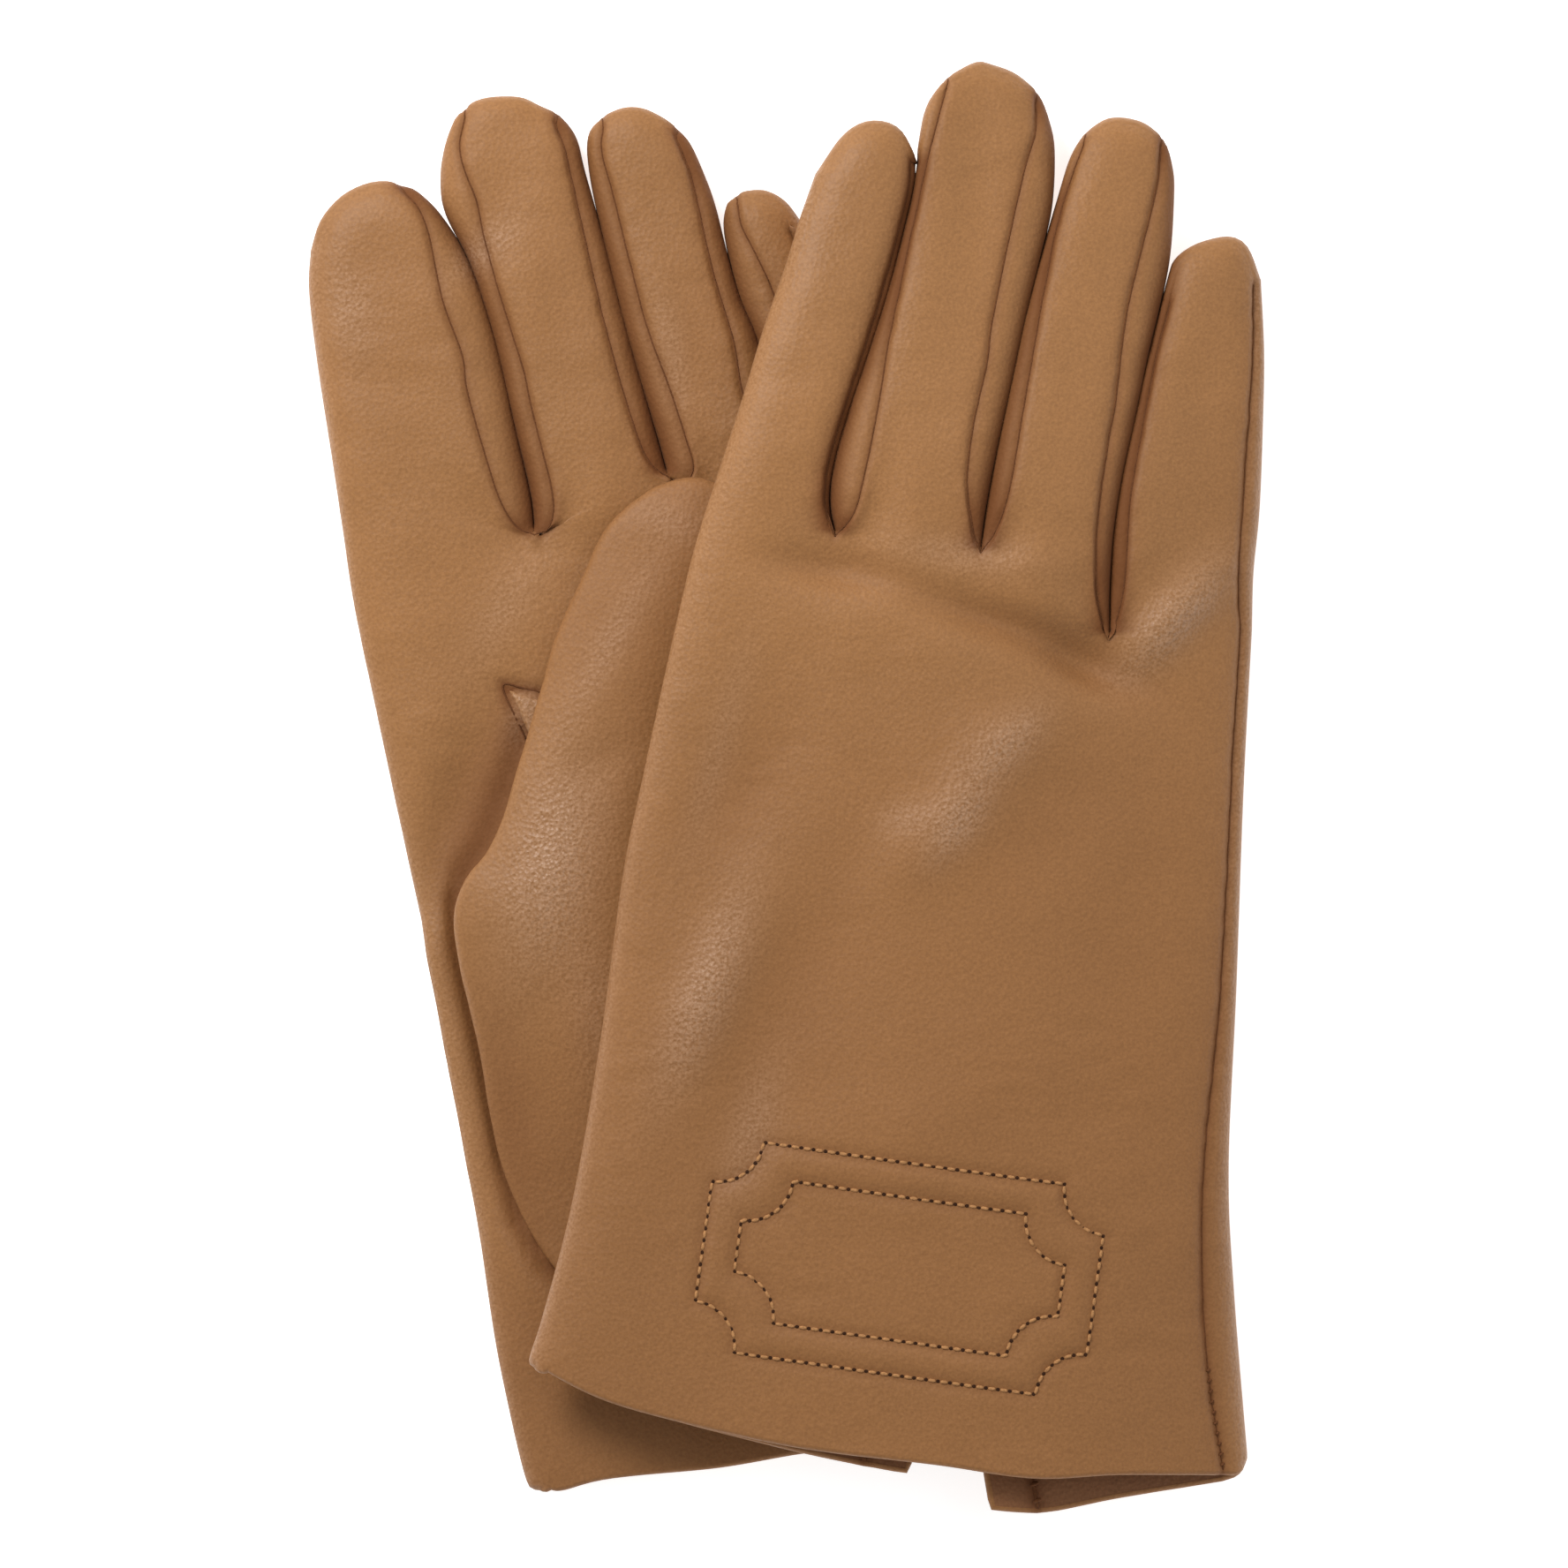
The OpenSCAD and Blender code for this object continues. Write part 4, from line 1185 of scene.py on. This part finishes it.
def laid_on(tree, spot, up):
    """The place and the normal of the leather straight above or below a spot of its plan."""
    place, normal, _, _ = tree.ray_cast(Vector((*spot, 60 * up)), Vector((0, 0, -up)))
    return np.array(place), np.array(normal) * (1 if normal[2] * up > 0 else -1)


def add_motif(side, tree, motifs):
    """Separate stitches along the cartouche, each between two needle holes drawn as dark marks of painted
    shade.
    """
    up = 1 if side == "right" else -1
    stitches, hole_shades = [], []
    for line in motifs:
        for middle, along, hole in stitch_marks(line, STITCH_PITCH):
            along = np.array([*along, 0])
            place, normal = laid_on(tree, middle, up)
            stitches.append(capsule(place + normal * 0.08, along, normal, STITCH_SIZE))
            place, _ = laid_on(tree, hole, up)
            hole_shades.append(capsule(place + normal * 0.02, along, normal, HOLE_SIZE))
    nodes = [side + "_motif_stitching"]
    add_piece(side + "_cartouche_stitches", merged(stitches), "motif", side, None, nodes)
    add_piece(side + "_cartouche_hole_shades", merged(hole_shades), "hole", side, None, [])


# ---------------------------------------------------------------- thumbs
THUMB_ROWS = 90
THUMB_ROOT_W = 28
THUMB_ROOT_T = 4.2
THUMB_INSET = 2.6
THUMB_PUFF = {"left": 19, "right": 12}
# The left thumb's lining starts here, well above its root
LEFT_THUMB_LINING_Y = -12


def pulled(curve, start, stop, to_start, to_stop):
    """The curve with its ends moved to two points, by weights that fade along it."""
    return curve + to_start[:, None] * (start - curve[0]) + to_stop[:, None] * (stop - curve[-1])


def pillow(outline, radius, middle_of, thick_of):
    """A thumb: upper and lower leather and the rounded edge between them, closed at the root."""
    rows = np.linspace(0, 1, THUMB_ROWS)
    across = column_fractions(THUMB_ROOT_W)
    left, right = spline(outline["left"], rows), spline(outline["right"], rows)
    tip = spline(outline["tip"], across)
    root = left[0] + np.outer(across, right[0] - left[0])
    left_in, right_in, top = inset(left, THUMB_INSET), inset(right, -THUMB_INSET), inset(tip, THUMB_INSET)
    base = root + (0, THUMB_INSET)
    top_left, top_right = (left_in[-1] + top[0]) / 2, (right_in[-1] + top[-1]) / 2
    low_left, low_right = (left_in[0] + base[0]) / 2, (right_in[0] + base[-1]) / 2
    ends = np.abs(2 * across - 1) ** 6
    near, far = ends * (across < 0.5), ends * (across >= 0.5)
    left_in = pulled(left_in, low_left, top_left, (1 - rows) ** 6, rows ** 6)
    right_in = pulled(right_in, low_right, top_right, (1 - rows) ** 6, rows ** 6)
    top, base = pulled(top, top_left, top_right, near, far), pulled(base, low_left, low_right, near, far)

    grid = coons(left_in, right_in, base, top, across, rows)
    h = rounded(distance_to(grid, [left, right, tip, root]), radius)
    x, y = grid[..., 0], grid[..., 1]
    middle, half = middle_of(x, y), thick_of(x, y) / 2
    front, rear = np.dstack([grid, middle + h * half]), np.dstack([grid, middle - h * half])
    surface = Surface()
    surface.add(front, "thumb")
    surface.add(rear, "thumb", True)
    for edge, where, flip in ((left, np.s_[:, 0], True), (tip, np.s_[-1], True),
                              (right, np.s_[:, -1], False), (root, np.s_[0], False)):
        grid = wall(edge, front[where], rear[where], middle_of(edge[:, 0], edge[:, 1]))
        surface.add(grid, "thumb", flip)
    return surface.join()


def left_thumb_middle(x, y):
    """The thumb rises out of the palm at its root and lies on it further up."""
    free = smoothstep((y + 82) / 66)
    sunk = LEFT_PALM_T - 0.4
    return sunk + (THUMB_Z + THUMB_T / 2 - sunk) * free


def left_thumb_thickness(x, y):
    return THUMB_ROOT_T + (THUMB_T - THUMB_ROOT_T) * smoothstep((y + 80) / 60)


def thumb_pieces(side, surface, lined, body, leather_nodes, lining_node):
    """A thumb's leather and its lining."""
    everywhere = surface.tags == "thumb"
    for name, chosen, layer, look, nodes in (
            ("_thumb_leather", everywhere, LEATHER, "leather", leather_nodes),
            ("_thumb_knit", everywhere & lined, LINING, "knit", [lining_node])):
        add_piece(side + name, shell(surface, chosen, layer), look, side, body, nodes)


def make_left_thumb():
    surface = pillow(LEFT_THUMB, THUMB_PUFF["left"], left_thumb_middle, left_thumb_thickness)
    normals, p = surface.normals(), surface.points
    upper = np.clip(normals[:, 2] * 1.5, 0, 1)
    lift = upper * swell_heights(p, THUMB_SWELLS)
    lift += waves(p, THUMB_SOFT_WAVES) + waves(p, THUMB_SMALL_WAVES)
    # Painted shade: a little all over, most on the shadowed lower side, towards the root and towards the
    # tip; the rubbed spots are glossier, with a painted satin highlight
    painted_shade = 0.07 + 0.3 * swell_heights(p, [THUMB_SHADOW]) + 0.14 * smoothstep((-30 - p[:, 1]) / 40)
    painted_shade += 0.15 * smoothstep((p[:, 1] - 2) / 30)
    surface.points = p + normals * lift[:, None]
    surface.shade = np.clip(np.stack([painted_shade, swell_heights(p, THUMB_GLOSS_AND_SHEEN) * upper], 1), 0, 1)
    surface.finish()
    lined = surface.points[surface.faces].mean(1)[:, 1] > LEFT_THUMB_LINING_Y
    thumb_pieces("left", surface, lined, "left_thumb", ["left_thumb_base", "left_thumb_tip"],
                 "left_thumb_tip_lining")


def make_right_thumb():
    """The hidden thumb, level between the two palms."""
    surface = pillow(RIGHT_THUMB, THUMB_PUFF["right"],
                     lambda x, y: np.full(np.shape(x), THUMB_Z + THUMB_T / 2),
                     lambda x, y: np.full(np.shape(x), THUMB_T))
    surface.shade = np.zeros((len(surface.points), 2))
    surface.finish()
    thumb_pieces("right", surface, True, None, ["right_thumb_shell"], "right_thumb_lining")


# The small three-cornered gusset where each thumb joins its palm
GUSSETS = {"left": ([(-49, 16.5), (-41.2, 14.6), (-44.6, 6.8)], 7.0, 1),
           "right": ([(0.6, 10), (8, 10), (5, 1)], 14.6, -1)}
GUSSET_STEPS = 12
GUSSET_DOME = 0.9
GUSSET_T = 0.6
# How much painted shade the gussets get, and how rubbed they are: glossier, with a painted satin highlight
GUSSET_SHADE = (0, 0.7)


def make_gusset(side):
    """A slightly domed triangle of leather with a rim all round."""
    corners, height, up = GUSSETS[side]
    a, b, c = (np.array(p, float) for p in corners)
    steps = GUSSET_STEPS
    spots = [(i, j) for i in range(steps + 1) for j in range(steps + 1 - i)]
    index = {spot: k for k, spot in enumerate(spots)}
    top = []
    for u, v in np.array(spots) / steps:
        dome = rounded(np.array(min(u, v, 1 - u - v) * 3), 1.0)
        top.append([*(a * (1 - u - v) + b * u + c * v), height + up * GUSSET_DOME * dome])
    top = np.array(top)
    bottom = np.c_[top[:, :2], np.full(len(top), height - up * GUSSET_T)]
    faces = []
    for i, j in spots:
        if i + j < steps:
            faces.append([index[i, j], index[i + 1, j], index[i, j + 1]])
        if i + j < steps - 1:
            faces.append([index[i + 1, j], index[i + 1, j + 1], index[i, j + 1]])
    rim = ([index[i, 0] for i in range(steps + 1)] + [index[steps - j, j] for j in range(1, steps + 1)]
           + [index[0, j] for j in range(steps - 1, 0, -1)])
    count = len(top)
    faces += [[v + count for v in reversed(f)] for f in list(faces)]
    faces += [[rim[k - 1], rim[k], rim[k] + count, rim[k - 1] + count][::-1] for k in range(len(rim))]
    shape = np.vstack([top, bottom]), faces, None, np.tile(GUSSET_SHADE, (2 * count, 1))
    add_piece(side + "_gusset_leather", shape, "leather", side, None, [side + "_thumb_quirk"])


make_glove("left")
make_glove("right")
make_left_thumb()
make_right_thumb()
make_gusset("left")
make_gusset("right")

# ---------------------------------------------------------------- floor, light and camera
VIEW_WIDTH = 0.2753
SENSOR = 36
CAMERA_X = -0.000465
CAMERA_Z = 1.2
SUBJECT_Z = 0.015
FLOOR_REACH, FLOOR_Z = 3, -0.0004


def add_area(name, place, size, power):
    """A square light aimed at the gloves."""
    light = bpy.data.lights.new(name, "AREA")
    light.size, light.energy = size, power
    obj = bpy.data.objects.new(name, light)
    obj.location = place
    obj.rotation_euler = (-Vector(place)).to_track_quat("-Z", "Y").to_euler()
    bpy.context.scene.collection.objects.link(obj)


def make_floor():
    """A pale floor just under the gloves."""
    mesh = bpy.data.meshes.new("pale_floor")
    reach = FLOOR_REACH
    mesh.from_pydata([(-reach, -reach, 0), (reach, -reach, 0), (reach, reach, 0), (-reach, reach, 0)],
                     [], [(0, 1, 2, 3)])
    floor = bpy.data.objects.new("pale_floor", mesh)
    bpy.context.scene.collection.objects.link(floor)
    material, tree, shader = node_material("pale_floor")
    shader.inputs["Base Color"].default_value = (0.9, 0.9, 0.9, 1)
    shader.inputs["Roughness"].default_value = 0.9
    shader.inputs["Emission Color"].default_value = (1, 1, 1, 1)
    shader.inputs["Emission Strength"].default_value = 0.7
    mesh.materials.append(material)
    floor.location.z = FLOOR_Z


def make_light():
    """White near the horizon and softer above, with a key light at the top left and a weak fill."""
    world = bpy.data.worlds.new("studio")
    world.use_nodes = True
    tree = world.node_tree
    background = tree.nodes["Background"]
    background.inputs["Color"].default_value = (1, 1, 1, 1)
    direction = add_node(tree, "ShaderNodeTexCoord").outputs["Generated"]
    height = add_node(tree, "ShaderNodeSeparateXYZ", {0: direction}).outputs["Z"]
    tree.links.new(spread(tree, height, 0.16, 0.42, 1, 0.4), background.inputs["Strength"])
    bpy.context.scene.world = world
    add_area("key", (-0.4, 0.5, 0.66), 0.35, 6.6)
    add_area("fill", (0.6, 0.3, 1.0), 0.8, 1.8)


def make_camera():
    """Straight above the gloves."""
    camera = bpy.data.cameras.new("camera")
    camera.sensor_width = SENSOR
    camera.lens = SENSOR * (CAMERA_Z - SUBJECT_Z) / VIEW_WIDTH
    obj = bpy.data.objects.new("camera", camera)
    obj.location = (CAMERA_X, 0, CAMERA_Z)
    bpy.context.scene.collection.objects.link(obj)
    bpy.context.scene.camera = obj
    bpy.context.scene.view_settings.view_transform = "Standard"


make_floor()
make_light()
make_camera()
